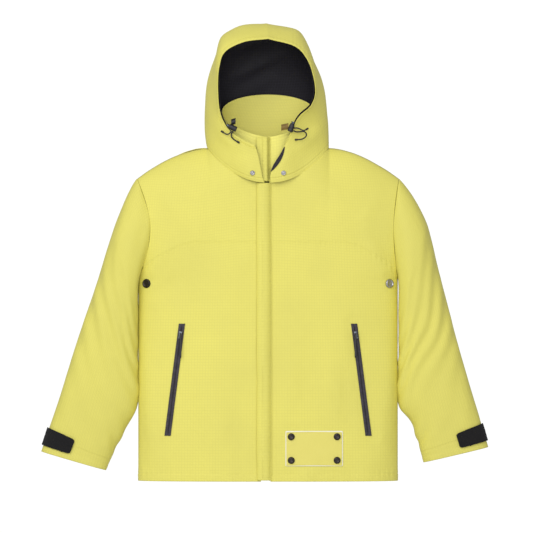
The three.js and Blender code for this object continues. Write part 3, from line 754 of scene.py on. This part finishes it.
def calm(x, z):
    """Where hard pieces sit on the front the cloth lies flat: 0 at them, 1 away from them."""
    across = np.abs(x)
    share = np.clip((POCKET_TOP[1] - z) / (POCKET_TOP[1] - POCKET_BOTTOM[1]), 0, 1)
    welt_x = mix(POCKET_TOP[0], POCKET_BOTTOM[0], share)
    welt_z = np.clip(z, POCKET_BOTTOM[1], POCKET_TOP[1])
    off_welt = np.hypot(across - welt_x, z - welt_z)
    off_snap = np.hypot(across - CHEST_SNAP[0], z - CHEST_SNAP[1])
    off_label = np.hypot(np.maximum(0, np.abs(x - LABEL_CENTRE[0]) - LABEL_WIDTH / 2),
                         np.maximum(0, np.abs(z - LABEL_CENTRE[1]) - LABEL_HEIGHT / 2))
    off_flap = np.maximum(0, np.abs(x - ZIP_X) - 0.016)
    rest = 1.0
    for off, reach in ((off_welt - 0.008, 0.022), (off_snap - 0.012, 0.018), (off_label, 0.022),
                       (off_flap, 0.030)):
        rest = rest * smooth(off / reach)
    return rest


def drape(grid, seed):
    """Slow hanging waves, longer than they are wide, and finer handling creases."""
    waves = soft_noise(grid, (0.085, 0.5, 0.330), seed)
    low = soft_noise(grid, (0.045, 0.3, 0.110), seed + 1)
    sharp = 1 - 2 * np.abs(soft_noise(grid, (0.060, 0.2, 0.150), seed + 2))
    fine = soft_noise(grid, (0.016, 0.1, 0.024), seed + 3)
    return 0.0020 * waves + 0.0010 * low + 0.0007 * sharp + 0.00022 * fine


def puckers(along, distance, seed=0):
    """Small gathers beside a stitched line, fading away from it."""
    return 0.00035 * np.sin(along * 2 * math.pi / 0.0115 + seed) * bump(distance / 0.009)


def front_relief(grid):
    x = grid[..., 0]
    z = grid[..., 2]
    height = drape(grid, 11) * (0.55 + 0.75 * smooth((0.50 - z) / 0.50))
    for row in FRONT_FOLDS:
        height = height + fold(x, z, *row)
    height = height * calm(x, z) * smooth((CHEST_HALF - np.abs(x)) / 0.020)
    yoke = z - front_yoke(x)
    height = height + seam(yoke) + puckers(x, yoke) + 0.0004 * smooth(yoke / 0.002)
    hem = z - HEM_STITCH
    return height + 0.6 * seam(hem) + puckers(x, hem, 2) + 0.0005 * smooth(-hem / 0.002) - 0.0006


def back_relief(grid):
    x = grid[..., 0]
    z = grid[..., 2]
    height = drape(grid, 41) * smooth((CHEST_HALF - np.abs(x)) / 0.020)
    yoke = z - BACK_YOKE_HEIGHT
    hem = z - HEM_STITCH
    return (height + seam(yoke) + puckers(x, yoke) + 0.0004 * smooth(yoke / 0.002)
            + 0.6 * seam(hem) + puckers(x, hem, 2) - 0.0006)


def body_grid(sign, face, neck, x_inner):
    columns = int(0.34 / CELL)
    rows = int(0.76 / CELL)
    u, v = np.meshgrid(spaced(columns, 1.15), np.linspace(0, 1, rows))
    return body_surface(u, v, sign, face, neck, x_inner)


for side, sign in SIDES:
    grid = body_grid(sign, -1, FRONT_NECK, 0.0162 if sign < 0 else 0.0058)
    obj = cloth(f"front_{side}", grid, sign, SHELL, "root", front_relief(grid), inner=LINING)
    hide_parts(f"front_panel_{side}", f"front_yoke_{side}")
left = body_grid(1, 1, BACK_NECK, 0.0)
right = body_grid(-1, 1, BACK_NECK, 0.0)
grid = np.concatenate([right[:, :0:-1], left], axis=1)
obj = cloth("back", grid, -1, SHELL, "root", back_relief(grid), inner=LINING)
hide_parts("back_panel", "back_yoke")


def front_place(x, z, lift=0.0):
    """Places on the finished front and their normals, for what is stitched or seated there."""
    x, z = np.broadcast_arrays(np.asarray(x, float), np.asarray(z, float))
    inset = np.where(x < 0, ARMHOLE_INSET["right"], ARMHOLE_INSET["left"])

    def at(px, pz):
        return np.stack([px, -body_depth(px, pz, inset), pz], axis=-1)
    du = at(x + 0.0005, z) - at(x - 0.0005, z)
    dv = at(x, z + 0.0005) - at(x, z - 0.0005)
    normal = np.cross(du, dv)
    normal = normal / np.linalg.norm(normal, axis=-1, keepdims=True)
    point = at(x, z)
    return point + normal * (front_relief(point) + lift)[..., None], normal


for side, sign in SIDES:
    start = 0.020 if sign < 0 else 0.010
    x = sign * np.linspace(start, 0.292, 160)
    for label, z in (("hem", np.full(160, HEM_STITCH)), ("yoke", front_yoke(x) + 0.0050)):
        obj = stitches(f"stitch_{label}_{side}", *front_place(x, z), "root")


# ---- sleeves
CUFF_SHARE = 0.945
for side, sign in SIDES:
    rows = int(0.66 / CELL)
    columns = 2 * int(0.15 / CELL) + 1
    u, v = shares(columns, rows)
    grid = sleeve_surface(u, v, side, sign)
    round_u = np.minimum(u, 1 - u)
    elbow = bump((v - 0.48) / 0.16)
    skew = v * 0.66 + 0.10 * np.cos(2 * math.pi * u)
    bands = np.sin(skew * 2 * math.pi / 0.085 + 2.2 * soft_noise(grid, (0.12, 0.2, 0.12), 5))
    height = 0.0016 * bands * (0.25 + elbow) * smooth(round_u / 0.06) * smooth((0.5 - round_u) / 0.04)
    height = height + 0.7 * drape(grid, 71 + sign) * smooth(v / 0.08)
    height = height + 0.0022 * bands * bump((v - 0.86) / 0.06) * smooth((round_u - 0.30) / 0.12)
    height = height * smooth((0.93 - v) / 0.05) + seam((v - CUFF_SHARE) * 0.66, 0.0006)
    front_seam = (u - mix(0.135, 0.105, v)) * 0.30
    height = height + seam(front_seam, 0.0005) * smooth((0.90 - v) / 0.02) * (v > 0.05)
    dart = (v - mix(0.47, 0.50, u / 0.12)) * 0.66
    height = height + seam(dart, 0.0005) * (u < 0.12)
    height = height + 0.0006 * smooth((v - 0.975) / 0.004)
    # The sleeves' cloth is the darker copy of the shell: painted shade.
    obj = cloth(f"sleeve_cloth_{side}", grid, sign, SHADED_SLEEVE_SHELL, None, height, inner=LINING, loop=True)
    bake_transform(obj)
    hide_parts(f"sleeve_{side}", f"cuff_{side}")


# ---- hood, chin flaps and stand collar
FOOT_DROP = 0.045                # how far the chin flaps hang over the neck seam in front
FACING = 0.009                   # stitched hem of the face opening
HOOD_FOLDS = [
    ((-0.105, 1.010), (-0.155, 0.860), 0.016, 0.0026), ((0.110, 1.000), (0.150, 0.850), 0.016, 0.0024),
    ((-0.125, 0.830), (-0.075, 0.760), 0.014, 0.0030), ((0.130, 0.820), (0.080, 0.765), 0.014, 0.0028),
    ((-0.040, 0.755), (-0.110, 0.790), 0.012, 0.0018), ((0.050, 0.750), (0.105, 0.790), 0.012, 0.0018),
    ((-0.050, 1.030), (-0.110, 1.035), 0.012, -0.0016), ((0.040, 1.028), (0.100, 1.038), 0.012, 0.0018),
]


def hood_grid(columns, rows, low=0.0, high=1.0):
    u, v = np.meshgrid(np.linspace(0, 1, columns), np.linspace(low, high, rows))
    first = mix(*CHIN_FRONT["left"], v**2)
    last = 1 - mix(*CHIN_FRONT["right"], v**2)
    turn = mix(first, last, u)
    front = ((1 + np.cos(2 * math.pi * turn)) / 2) ** 6
    return hood_surface(turn, v - FOOT_DROP * front * (1 - v) ** 4), turn


columns = int(0.92 / CELL)
rows = int(0.36 / CELL)
grid, turn = hood_grid(columns, rows)
climb = lengths(grid, 0)
edge_gap = climb[-1] - climb
height = 0.8 * drape(grid, 91)
for row in HOOD_FOLDS:
    height = height + fold(grid[..., 0], grid[..., 2], *row)
near_snap = np.hypot(np.abs(grid[..., 0]) - COLLAR_SNAP[0], grid[..., 2] - COLLAR_SNAP[1])
height = height * smooth(edge_gap / 0.02) * smooth(climb / 0.02) * smooth((near_snap - 0.007) / 0.02)
height = height + seam(edge_gap - FACING) + puckers(climb[:1] + grid[..., 0] * 1.3, edge_gap - FACING, 1)
height = height + 0.0005 * smooth((FACING - edge_gap) / 0.002) + 0.7 * seam(climb - 0.010)
for place in (CHIN_END, HOOD_CENTRE, 1 - HOOD_CENTRE, 1 - CHIN_END):
    height = height + seam((turn - place) * 0.80, 0.0006)
obj = cloth("hood", grid, 1, SHELL, None, height, inner=LINING)
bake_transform(obj)
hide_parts("hood_side_right", "hood_side_left", "hood_centre_panel", "chin_flap_right",
            "chin_flap_left")

outer_normal = normals_of(grid, 1)
for label, row in (("facing", np.argmin(np.abs(edge_gap - FACING - 0.0022), axis=0)),
                   ("foot", np.argmin(np.abs(climb - 0.0125), axis=0))):
    at = np.arange(columns)
    line = grid[row, at] + outer_normal[row, at] * (height[row, at] + 0.0001)[:, None]
    obj = stitches(f"stitch_hood_{label}", line, outer_normal[row, at], None)
    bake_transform(obj)

grid, turn = hood_grid(columns // 2, rows // 2, 0.10, 0.985)
height = -0.0034 + 1.2 * drape(grid, 131) - 0.0010
height = height + fold(grid[..., 0], grid[..., 2], (-0.100, 0.990), (-0.020, 1.015), 0.010, -0.0040)
height = height + fold(grid[..., 0], grid[..., 2], (-0.080, 0.930), (0.030, 0.985), 0.012, -0.0050)
height = height + fold(grid[..., 0], grid[..., 2], (-0.060, 0.890), (0.010, 0.930), 0.012, -0.0030)
obj = cloth("hood_lining_cloth", grid, 1, LINING, None, np.minimum(height, -0.0022), 0.0007)
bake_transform(obj)
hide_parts("hood_lining")

u, v = shares(int(0.72 / CELL), int(0.13 / CELL))
grid = collar_surface(u, v)
climb = lengths(grid, 0)
height = 0.45 * drape(grid, 151) * smooth(v / 0.15) + seam(climb[-1] - climb - 0.007)
height = height + 0.0010 * np.sin(2 * math.pi * climb / 0.034 + 3 * u) * bump((u - 0.78) / 0.09)
# The collar's cloth is the brighter copy of the shell: painted light.
obj = cloth("collar_cloth", grid, 1, LIT_COLLAR_SHELL, "root", height - 0.0006, 0.0012, loop=True)
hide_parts("stand_collar")

# The left chin flap's edge turns out a little and shows its lining.
v = np.linspace(0.30, 0.93, 24)[:, None]
width = 0.016 * np.sin(math.pi * (v - 0.30) / 0.63) ** 0.7 + 0.0005
turn = mix(*CHIN_FRONT["left"], v**2) - 0.0016 + width * np.linspace(0, 1, 8)[None, :]
grid = hood_surface(turn, np.broadcast_to(v, turn.shape))
obj = cloth("chin_lining", grid, 1, LINING, "root", 0.0016, 0.0008)


# ---- storm flap and placket
def flap_surface(u, v, low, high, ground):
    x = mix(FLAP_FREE_X, FLAP_SEWN_X, u)
    z = mix(low, high, v)
    standoff = mix(ground + 0.0004, FLAP_STANDOFF, smooth((FLAP_SEWN_X - x) / 0.009))
    if ground == 0:
        arch = np.sin(math.pi * np.clip((x - FLAP_FREE_X) / (FLAP_SEWN_X - FLAP_FREE_X), 0, 1))
        standoff = 0.0010 + 0.0060 * arch**0.8
    return np.stack([x, -centre_depth(z) - standoff - FABRIC, z], axis=-1)


FLAP_STITCHES = (-0.0120, 0.0026)
for name, node, body, low, high, ground in (
        ("flap_cloth", "storm_flap", "flap", 0.003, FRONT_NECK - 0.0025, 0.0),
        ("placket_cloth", "collar_placket", "root", FRONT_NECK + 0.0015, COLLAR_FRONT - 0.001,
         -FABRIC - 0.0007)):
    u, v = np.meshgrid(spaced(28, 1.5), np.linspace(0, 1, int((high - low) / CELL)))
    grid = flap_surface(u, v, low, high, ground)
    x = grid[..., 0]
    z = grid[..., 2]
    free = smooth((FLAP_SEWN_X - x) / 0.02)
    height = 0.0011 * soft_noise(grid, (0.5, 0.5, 0.075), 171) * free + 0.0003 * drape(grid, 7) / 0.002
    height = np.minimum(height, 0.0016) - 0.0010 * bump((x - FLAP_FREE_X) / 0.0015)
    for line in FLAP_STITCHES:
        height = height + 0.4 * seam(x - line) + 0.7 * puckers(z, x - line, line)
    obj = cloth(name, grid, 1, SHELL, body, height, 0.0018)
    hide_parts(node)
    z = np.linspace(low + 0.004, high - 0.003, 120)
    for k, line in enumerate(FLAP_STITCHES):
        u_line = np.full(120, (line - FLAP_FREE_X) / (FLAP_SEWN_X - FLAP_FREE_X))
        path = flap_surface(u_line, (z - low) / (high - low), low, high, ground)
        up = np.tile((0.0, -1.0, 0.0), (120, 1))
        obj = stitches(f"stitch_{name}_{k}", path + up * 0.0002, up, body)

u, v = shares(6, 200)
z = mix(0.002, FRONT_NECK + 0.004, v)
grid = np.stack([mix(*FLAP_TAPE, u), -centre_depth(z), z], axis=-1)
obj = cloth("flap_seam_tape", grid, 1, SHELL, "root", 0.0006, 0.0005)


# ---- main zip under the flap
def box_middle(node):
    low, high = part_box(node)
    return (Vector(low) + Vector(high)) / 2


LEAN = Vector((0, DEPTH_PER_HEIGHT, 1)).normalized()
for side, sign in SIDES:
    u, v = shares(9, 200)
    z = mix(0.0145, FRONT_NECK - 0.005, v)
    x = mix(ZIP_X + sign * 0.0004, ZIP_X + sign * 0.0128, u)
    grid = np.stack([x, -centre_depth(z) + 0.0019, z], axis=-1)
    ribs = 0.00012 * np.sin(np.abs(x - ZIP_X) * 2 * math.pi / 0.0022)
    obj = cloth(f"zip_tape_cloth_{side}", grid, sign, ZIP_TAPE, "root", ribs, 0.0007)
    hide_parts(f"zip_tape_{side}")
z = np.linspace(0.0275, 0.777, 90)
line = np.stack([np.full(90, ZIP_X), -centre_depth(z) + 0.0006, z], axis=-1)
up = np.tile((0.0, -1.0, 0.0), (90, 1))
obj = stitches("zip_teeth", line, up, "root", 0.0022, 0.0017, BLACK_PLASTIC)
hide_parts("zip_coil")


def along_matrix(centre, up, outward):
    """Local Z runs up and local Y points into the jacket."""
    z = Vector(up).normalized()
    y = -Vector(outward).normalized()
    y = (y - z * y.dot(z)).normalized()
    x = y.cross(z)
    matrix = Matrix((x, y, z)).transposed().to_4x4()
    matrix.translation = Vector(centre)
    return matrix


def pillow(length, half_x, half_y, waist=1.0, neck=0.7):
    """Sections of a rounded bar whose ends draw in and whose middle has a waist."""
    rows = []
    for share in np.linspace(-1, 1, 13):
        end = (1 - abs(share) ** 5) ** 0.5 * (1 - neck) + neck if abs(share) < 1 else neck
        slim = mix(waist, 1, abs(share))
        rows.append((share * length / 2, half_x * end * slim, half_y * end, 0, 0))
    return rows


def hardware(name, node, body, material, sections, up, outward, corner=0.5):
    matrix = along_matrix(box_middle(node), up, outward)
    obj = block(name, sections, matrix, material, body, corner)
    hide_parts(node)
    return obj


hardware("insertion_box", "zip_insertion_box", "root", DARK_METAL,
         pillow(0.0125, 0.0040, 0.0015), LEAN, (0, -1, 0))
hardware("main_slider_body", "zip_slider", "main_slider", DARK_METAL,
         pillow(0.0130, 0.0043, 0.0016, 0.72, 0.8), LEAN, (0, -1, 0))
hardware("main_pull", "zip_pull", "main_slider", BLACK_PLASTIC,
         pillow(0.0340, 0.0030, 0.0006, 0.75), LEAN, (0, -1, 0))

# ---- pockets
for side, sign in SIDES:
    share = np.linspace(0, 1, 120)
    middle_x = mix(POCKET_BOTTOM[0], POCKET_TOP[0], share)
    middle_z = mix(POCKET_BOTTOM[1], POCKET_TOP[1], share)
    across = np.linspace(-0.5, 0.5, 25)
    x = sign * (middle_x[:, None] + across[None, :] * POCKET_WIDTH)
    z = np.broadcast_to(middle_z[:, None], x.shape)
    grid = front_place(x, z)[0]
    lips = 0.0020 - 0.0011 * bump(across / 0.10) - 0.0008 * bump((np.abs(across) - 0.5) / 0.05)
    lips = lips + 0.0003 * np.sin(share[:, None] * 260) * bump((np.abs(across) - 0.36) / 0.08)
    obj = cloth(f"pocket_welt_{side}", grid, sign, ZIP_TAPE, "root", lips, 0.0016)
    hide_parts(f"pocket_zip_{side}")
    line, up = front_place(sign * middle_x, middle_z, 0.0012)
    obj = stitches(f"pocket_teeth_{side}", line[3:-3], up[3:-3], "root", 0.0018, 0.0008, BLACK_PLASTIC)
    for edge in (-1, 1):
        x = sign * (middle_x + edge * (POCKET_WIDTH / 2 + 0.0022))
        obj = stitches(f"stitch_welt_{side}_{edge + 1}", *front_place(x, middle_z), "root")
    u, v = shares(40, 60)
    z = mix(0.062, 0.352, v)
    x = sign * (mix(0.140, 0.128, v) + (u - 0.5) * 0.150)
    inset = ARMHOLE_INSET[side]
    grid = np.stack([x, -body_depth(x, z, inset), z], axis=-1)
    bag = -0.0045 - np.abs(0.4 * drape(grid, 211 + sign)) - 0.0006 * bump(np.minimum(u, 1 - u) / 0.05)
    obj = cloth(f"pocket_bag_cloth_{side}", grid, sign, LINING, "root", bag, 0.0020)
    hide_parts(f"pocket_bag_{side}")
    head, foot = (front_place(sign * p[0], p[1])[0] for p in (POCKET_TOP, POCKET_BOTTOM))
    up = Vector(head - foot)
    outward = Vector((sign * 0.2, -1, 0))
    # The slider is in the blue-grey metal: a painted glint.
    hardware(f"pocket_slider_body_{side}", f"pocket_slider_{side}", f"pocket_slider_{side}_body",
             PAINTED_GLINT_METAL, pillow(0.0170, 0.0046, 0.0020, 0.72, 0.78), up, outward)
    hardware(f"pocket_pull_tab_{side}", f"pocket_pull_{side}", f"pocket_pull_{side}_body",
             BLACK_PLASTIC, pillow(0.0560, 0.0025, 0.0008, 0.68), (0, 0, 1), (0, -1, 0))


# ---- label patch, rivets and snaps
CORNER = 0.0025


def rounded_patch(width, height, columns, rows, corner):
    """A grid over a rectangle with round corners, centred on 0."""
    u, v = np.meshgrid(spaced(columns, 1.4) - 0.5, spaced(rows, 1.4) - 0.5)
    x = u * width
    z = v * height
    into = np.clip((np.abs(z) - (height / 2 - corner)) / corner, 0, 1)
    shrink = corner * (1 - np.sqrt(1 - into**2))
    return x * (1 - shrink / (width / 2)), z


x, z = rounded_patch(LABEL_WIDTH, LABEL_HEIGHT, 90, 60, CORNER)
grid = front_place(x + LABEL_CENTRE[0], z + LABEL_CENTRE[1])[0]
from_edge = np.minimum(LABEL_WIDTH / 2 - np.abs(x), LABEL_HEIGHT / 2 - np.abs(z))
height = 0.0020 - 0.0008 * bump(from_edge / 0.0008) + 0.00025 * soft_noise(grid, (0.03, 0.5, 0.02), 3)
obj = cloth("label_cloth", grid, 1, LABEL, "root", height, 0.0016)
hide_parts("label_patch")
inset = 0.0036
half_x, half_z = LABEL_WIDTH / 2 - inset, LABEL_HEIGHT / 2 - inset
corners = np.array([(-1, -1), (1, -1), (1, 1), (-1, 1), (-1, -1)]) * (half_x, half_z) + LABEL_CENTRE
outline = np.concatenate([np.linspace(a, b, 30, endpoint=False) for a, b in zip(corners, corners[1:])])
obj = stitches("stitch_label", *front_place(outline[:, 0], outline[:, 1], 0.0020), "root")

CHEST_CAP = [(0.0105, 0), (0.0105, 0.0012), (0.0100, 0.0026), (0.0090, 0.0036), (0.0080, 0.0040),
             (0.0071, 0.0037), (0.0065, 0.0029), (0.0050, 0.0026), (0.0025, 0.0026), (0, 0.0027)]
RIVET_CAP = [(0.0080, 0), (0.0080, 0.0009), (0.0075, 0.0018), (0.0064, 0.0027), (0.0050, 0.0033),
             (0.0042, 0.0033), (0.0037, 0.0028), (0.0020, 0.0028), (0, 0.0029)]
COLLAR_CAP = [(0.0058, 0), (0.0058, 0.0008), (0.0053, 0.0019), (0.0045, 0.0026), (0.0037, 0.0024),
              (0.0031, 0.0015), (0.0022, 0.0014), (0.0017, 0.0021), (0, 0.0022)]
# Height on the front whose facing the collar caps take.
COLLAR_CAP_FACES = 0.600


def cap(name, node, profile, material, slot, x, z):
    normal = front_place(np.array([x]), np.array([z]))[1][0]
    base = box_middle(node) - Vector(normal) * profile[4][1] / 2
    obj = turned(name, profile, seat_matrix(base, normal), material, "root")
    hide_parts(node)


for row, up_sign in (("upper", 1), ("lower", -1)):
    for column, out_sign in (("inner", -1), ("outer", 1)):
        x = LABEL_CENTRE[0] + out_sign * (LABEL_WIDTH / 2 - RIVET_INSET)
        z = LABEL_CENTRE[1] + up_sign * (LABEL_HEIGHT / 2 - RIVET_INSET)
        cap(f"rivet_{row}_{column}", f"label_rivet_{row}_{column}", RIVET_CAP, DARK_METAL,
            "dark_snap", x, z)
# The two chest caps are one gunmetal part: the right one keeps the gunmetal, the left one takes the pale
# metal, a painted reflection.
cap("snap_cap_right", "chest_snap_right", CHEST_CAP, DARK_METAL, "dark_snap", -CHEST_SNAP[0],
    CHEST_SNAP[1])
cap("snap_cap_left", "chest_snap_left", CHEST_CAP, PALE_METAL_AND_PAINTED_REFLECTION, "bright_snap", *CHEST_SNAP)
for side, sign in SIDES:
    cap(f"collar_cap_{side}", f"collar_snap_{side}", COLLAR_CAP, PALE_METAL_AND_PAINTED_REFLECTION, "bright_snap",
        sign * COLLAR_SNAP[0], COLLAR_CAP_FACES)

# ---- cuffs' hook-and-loop
TAB_ALONG = (0.914, 0.977)
TAB_END = 0.235
for side, sign in SIDES:
    for name, node, body, ends, top, thick in (
            ("loop_strip", "cuff_loop", f"sleeve_{side}_body", (0.03, 0.20), 0.0018, 0.0008),
            ("tab_strap", "cuff_tab", f"cuff_tab_{side}_body", (0.0, TAB_END), 0.0046, 0.0024)):
        a, b = np.meshgrid(spaced(70, 1.2), spaced(34, 1.3))
        into = np.clip((np.abs(b - 0.5) - 0.36) / 0.14, 0, 1)
        reach = 1 - 0.085 * (1 - np.sqrt(1 - into**2))
        u = mix(*ends, a * reach)
        v = mix(*TAB_ALONG, b)
        grid = sleeve_surface(u, v, side, sign)
        rim = np.minimum(np.minimum(a, 1 - a) * 0.075, np.minimum(b, 1 - b) * 0.040)
        nap = 0.00028 * soft_noise(grid, 0.0022, 31) + 0.00018 * soft_noise(grid, 0.0050, 37)
        height = top + nap - 0.0006 * bump(rim / 0.0010) + 0.5 * seam(rim - 0.0035)
        obj = cloth(f"{name}_{side}", grid, sign, FLEECE, body, height, thick)
        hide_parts(f"{node}_{side}")
    u = np.linspace(0.001, 0.999, 170)
    for label, share in (("upper", CUFF_SHARE - 0.006), ("lower", 0.990)):
        v = np.full(170, share)
        ring = np.stack([sleeve_surface(u, v + d, side, sign) for d in (-0.002, 0.0, 0.002)])
        up = normals_of(ring, sign)
        obj = stitches(f"stitch_cuff_{label}_{side}", ring[1] + up[1] * 0.0003, up[1],
                       f"sleeve_{side}_body")


# ---- drawcord, locks and tips
def cord_tube(name, path, radius, material, body, around=14):
    """A tube along the path, its frame carried along so that it does not twist."""
    ahead = np.gradient(path, axis=0)
    ahead = ahead / np.linalg.norm(ahead, axis=1, keepdims=True)
    side = np.cross(ahead[0], (0.0, 1.0, 0.1))
    rings = []
    for at, forward in zip(path, ahead):
        side = side - forward * side.dot(forward)
        side = side / np.linalg.norm(side)
        other = np.cross(forward, side)
        angle = np.linspace(0, 2 * math.pi, around + 1)[:, None]
        rings.append(at + radius * (np.cos(angle) * side + np.sin(angle) * other))
    grid = np.array(rings)
    run = run_along(path)
    uvs = np.stack(np.broadcast_arrays(np.linspace(0, 2 * math.pi * radius, around + 1)[None, :],
                                       run[:, None]), axis=-1).reshape(-1, 2)
    wide = around + 1
    faces = [(j * wide + i, j * wide + i + 1, (j + 1) * wide + i + 1, (j + 1) * wide + i)
             for j in range(len(path) - 1) for i in range(around)]
    last = (len(path) - 1) * wide
    faces.append(tuple(range(around))[::-1])
    faces.append(tuple(range(last, last + around)))
    obj = make(name, grid.reshape(-1, 3), faces, material, body, uvs)
    weld = obj.modifiers.new("weld", "WELD")
    weld.merge_threshold = 0.00002
    return obj


CORD_DIAMETER = 0.003
CORD_ENDS = {
    "upper_right": [(-0.0860, -0.0790, 0.8024), (-0.0845, -0.0840, 0.8000), (-0.0880, -0.0850, 0.7960),
                    (-0.0930, -0.0805, 0.7940), (-0.0980, -0.0750, 0.7960), (-0.1020, -0.0725, 0.7985)],
    "lower_right": [(-0.0802, -0.0790, 0.8009), (-0.0810, -0.0780, 0.7995), (-0.0840, -0.0765, 0.7940),
                    (-0.0830, -0.0755, 0.7880), (-0.0780, -0.0750, 0.7825), (-0.0710, -0.0750, 0.7780)],
    "upper_left": [(0.0610, -0.0800, 0.8080), (0.0660, -0.0855, 0.8083), (0.0720, -0.0860, 0.8065),
                   (0.0780, -0.0835, 0.8035), (0.0830, -0.0800, 0.8030), (0.0865, -0.0785, 0.8047)],
    "lower_left": [(0.0582, -0.0800, 0.8022), (0.0650, -0.0784, 0.7998), (0.0740, -0.0765, 0.8000),
                   (0.0820, -0.0760, 0.8005), (0.0870, -0.0758, 0.7965), (0.0870, -0.0750, 0.7900),
                   (0.0810, -0.0750, 0.7845), (0.0740, -0.0755, 0.7825), (0.0680, -0.0760, 0.7820)],
}
TIP = [(0.0017, 0.0000), (0.0022, 0.0006), (0.0023, 0.0020), (0.0020, 0.0026), (0.0023, 0.0032),
       (0.0023, 0.0056), (0.0019, 0.0067), (0.0008, 0.0070)]
for name, points in CORD_ENDS.items():
    path = in_frame(curve_points(points, np.linspace(0, 1, 10 * len(points))))
    obj = cord_tube(f"cord_{name}", path, CORD_DIAMETER / 2, BRAID, "root")
    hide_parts(f"drawcord_{name}")
    direction = Vector(path[-1] - path[-3]).normalized()
    tip = turned(f"tip_{name}", TIP, seat_matrix(path[-1], direction, (0.1, 1, 0)), BLACK_PLASTIC,
                 "root", 20)
    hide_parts(f"cord_tip_{name}")

LOCKS = {
    "right": ((-0.0808, -0.0787, 0.8091), (-0.904, 0, 0.427)),
    "left": ((0.0530, -0.0800, 0.8090), (0.303, 0, 0.953)),
}
LOCK_BODY = [(-0.0095, 0.0050, 0.0036), (-0.0090, 0.0060, 0.0045), (-0.0060, 0.0065, 0.0050),
             (-0.0048, 0.0059, 0.0045), (-0.0036, 0.0065, 0.0050), (-0.0024, 0.0059, 0.0045),
             (-0.0012, 0.0065, 0.0050), (0.0040, 0.0062, 0.0048), (0.0072, 0.0054, 0.0044),
             (0.0090, 0.0050, 0.0042), (0.0095, 0.0044, 0.0039)]
BUTTON = [(0.0030, -0.0025), (0.0032, 0.0000), (0.0032, 0.0115), (0.0038, 0.0125), (0.0040, 0.0138),
          (0.0036, 0.0144), (0.0016, 0.0146)]
for side, sign in SIDES:
    centre, axis = LOCKS[side]
    z = Vector(axis).normalized()
    place = Vector(centre) - Vector((0, ORIGIN_DEPTH, ORIGIN_HEIGHT))
    matrix = along_matrix(place, z, (0, -1, 0))
    rows = [(height, x, y, 0, 0) for height, x, y in LOCK_BODY]
    obj = block(f"lock_barrel_{side}", rows, matrix, BLACK_PLASTIC, "root", 0.9, 32)
    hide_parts(f"cord_lock_{side}")
    # The button cap is in the blue-grey metal: a painted glint.
    obj = turned(f"lock_button_cap_{side}", BUTTON, matrix, PAINTED_GLINT_METAL, f"lock_button_{side}", 28)
    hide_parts(f"cord_lock_button_{side}")

# Small folded tapes hold each lock's cord to the edge of the hood; the left one is brown, the yellow
# tape's painted shade.
KEEPERS = (("right", (-0.0790, -0.0770, 0.8230), 0.010, BLACK_PLASTIC),
           ("left", (0.0385, -0.0805, 0.8110), 0.016, PAINTED_SHADE_KEEPER))
for side, middle, width, material in KEEPERS:
    u, v = np.meshgrid(np.linspace(-0.5, 0.5, 20), np.linspace(0, 1, 24))
    bend = np.sin(math.pi * v)
    grid = np.stack([middle[0] + u * width, middle[1] - 0.0042 * bend + 0.002,
                     middle[2] + (v - 0.5) * 0.014 + 0.003 * u], axis=-1)
    obj = cloth(f"cord_keeper_{side}", grid, 1, material, "root", 0.0002 * np.sin(60 * u), 0.0009)

# The loop inside the back neck.
points = [(-0.020, 0.0464, 0.756), (-0.017, 0.0434, 0.765), (-0.008, 0.0414, 0.772),
          (0, 0.0414, 0.773), (0.008, 0.0414, 0.772), (0.017, 0.0434, 0.765), (0.020, 0.0464, 0.756)]
path = in_frame(curve_points(points, np.linspace(0, 1, 60)))
obj = cord_tube("hanger_tape", path, 0.0020, SHELL, "root")
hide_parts("hanger_loop")

low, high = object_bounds()
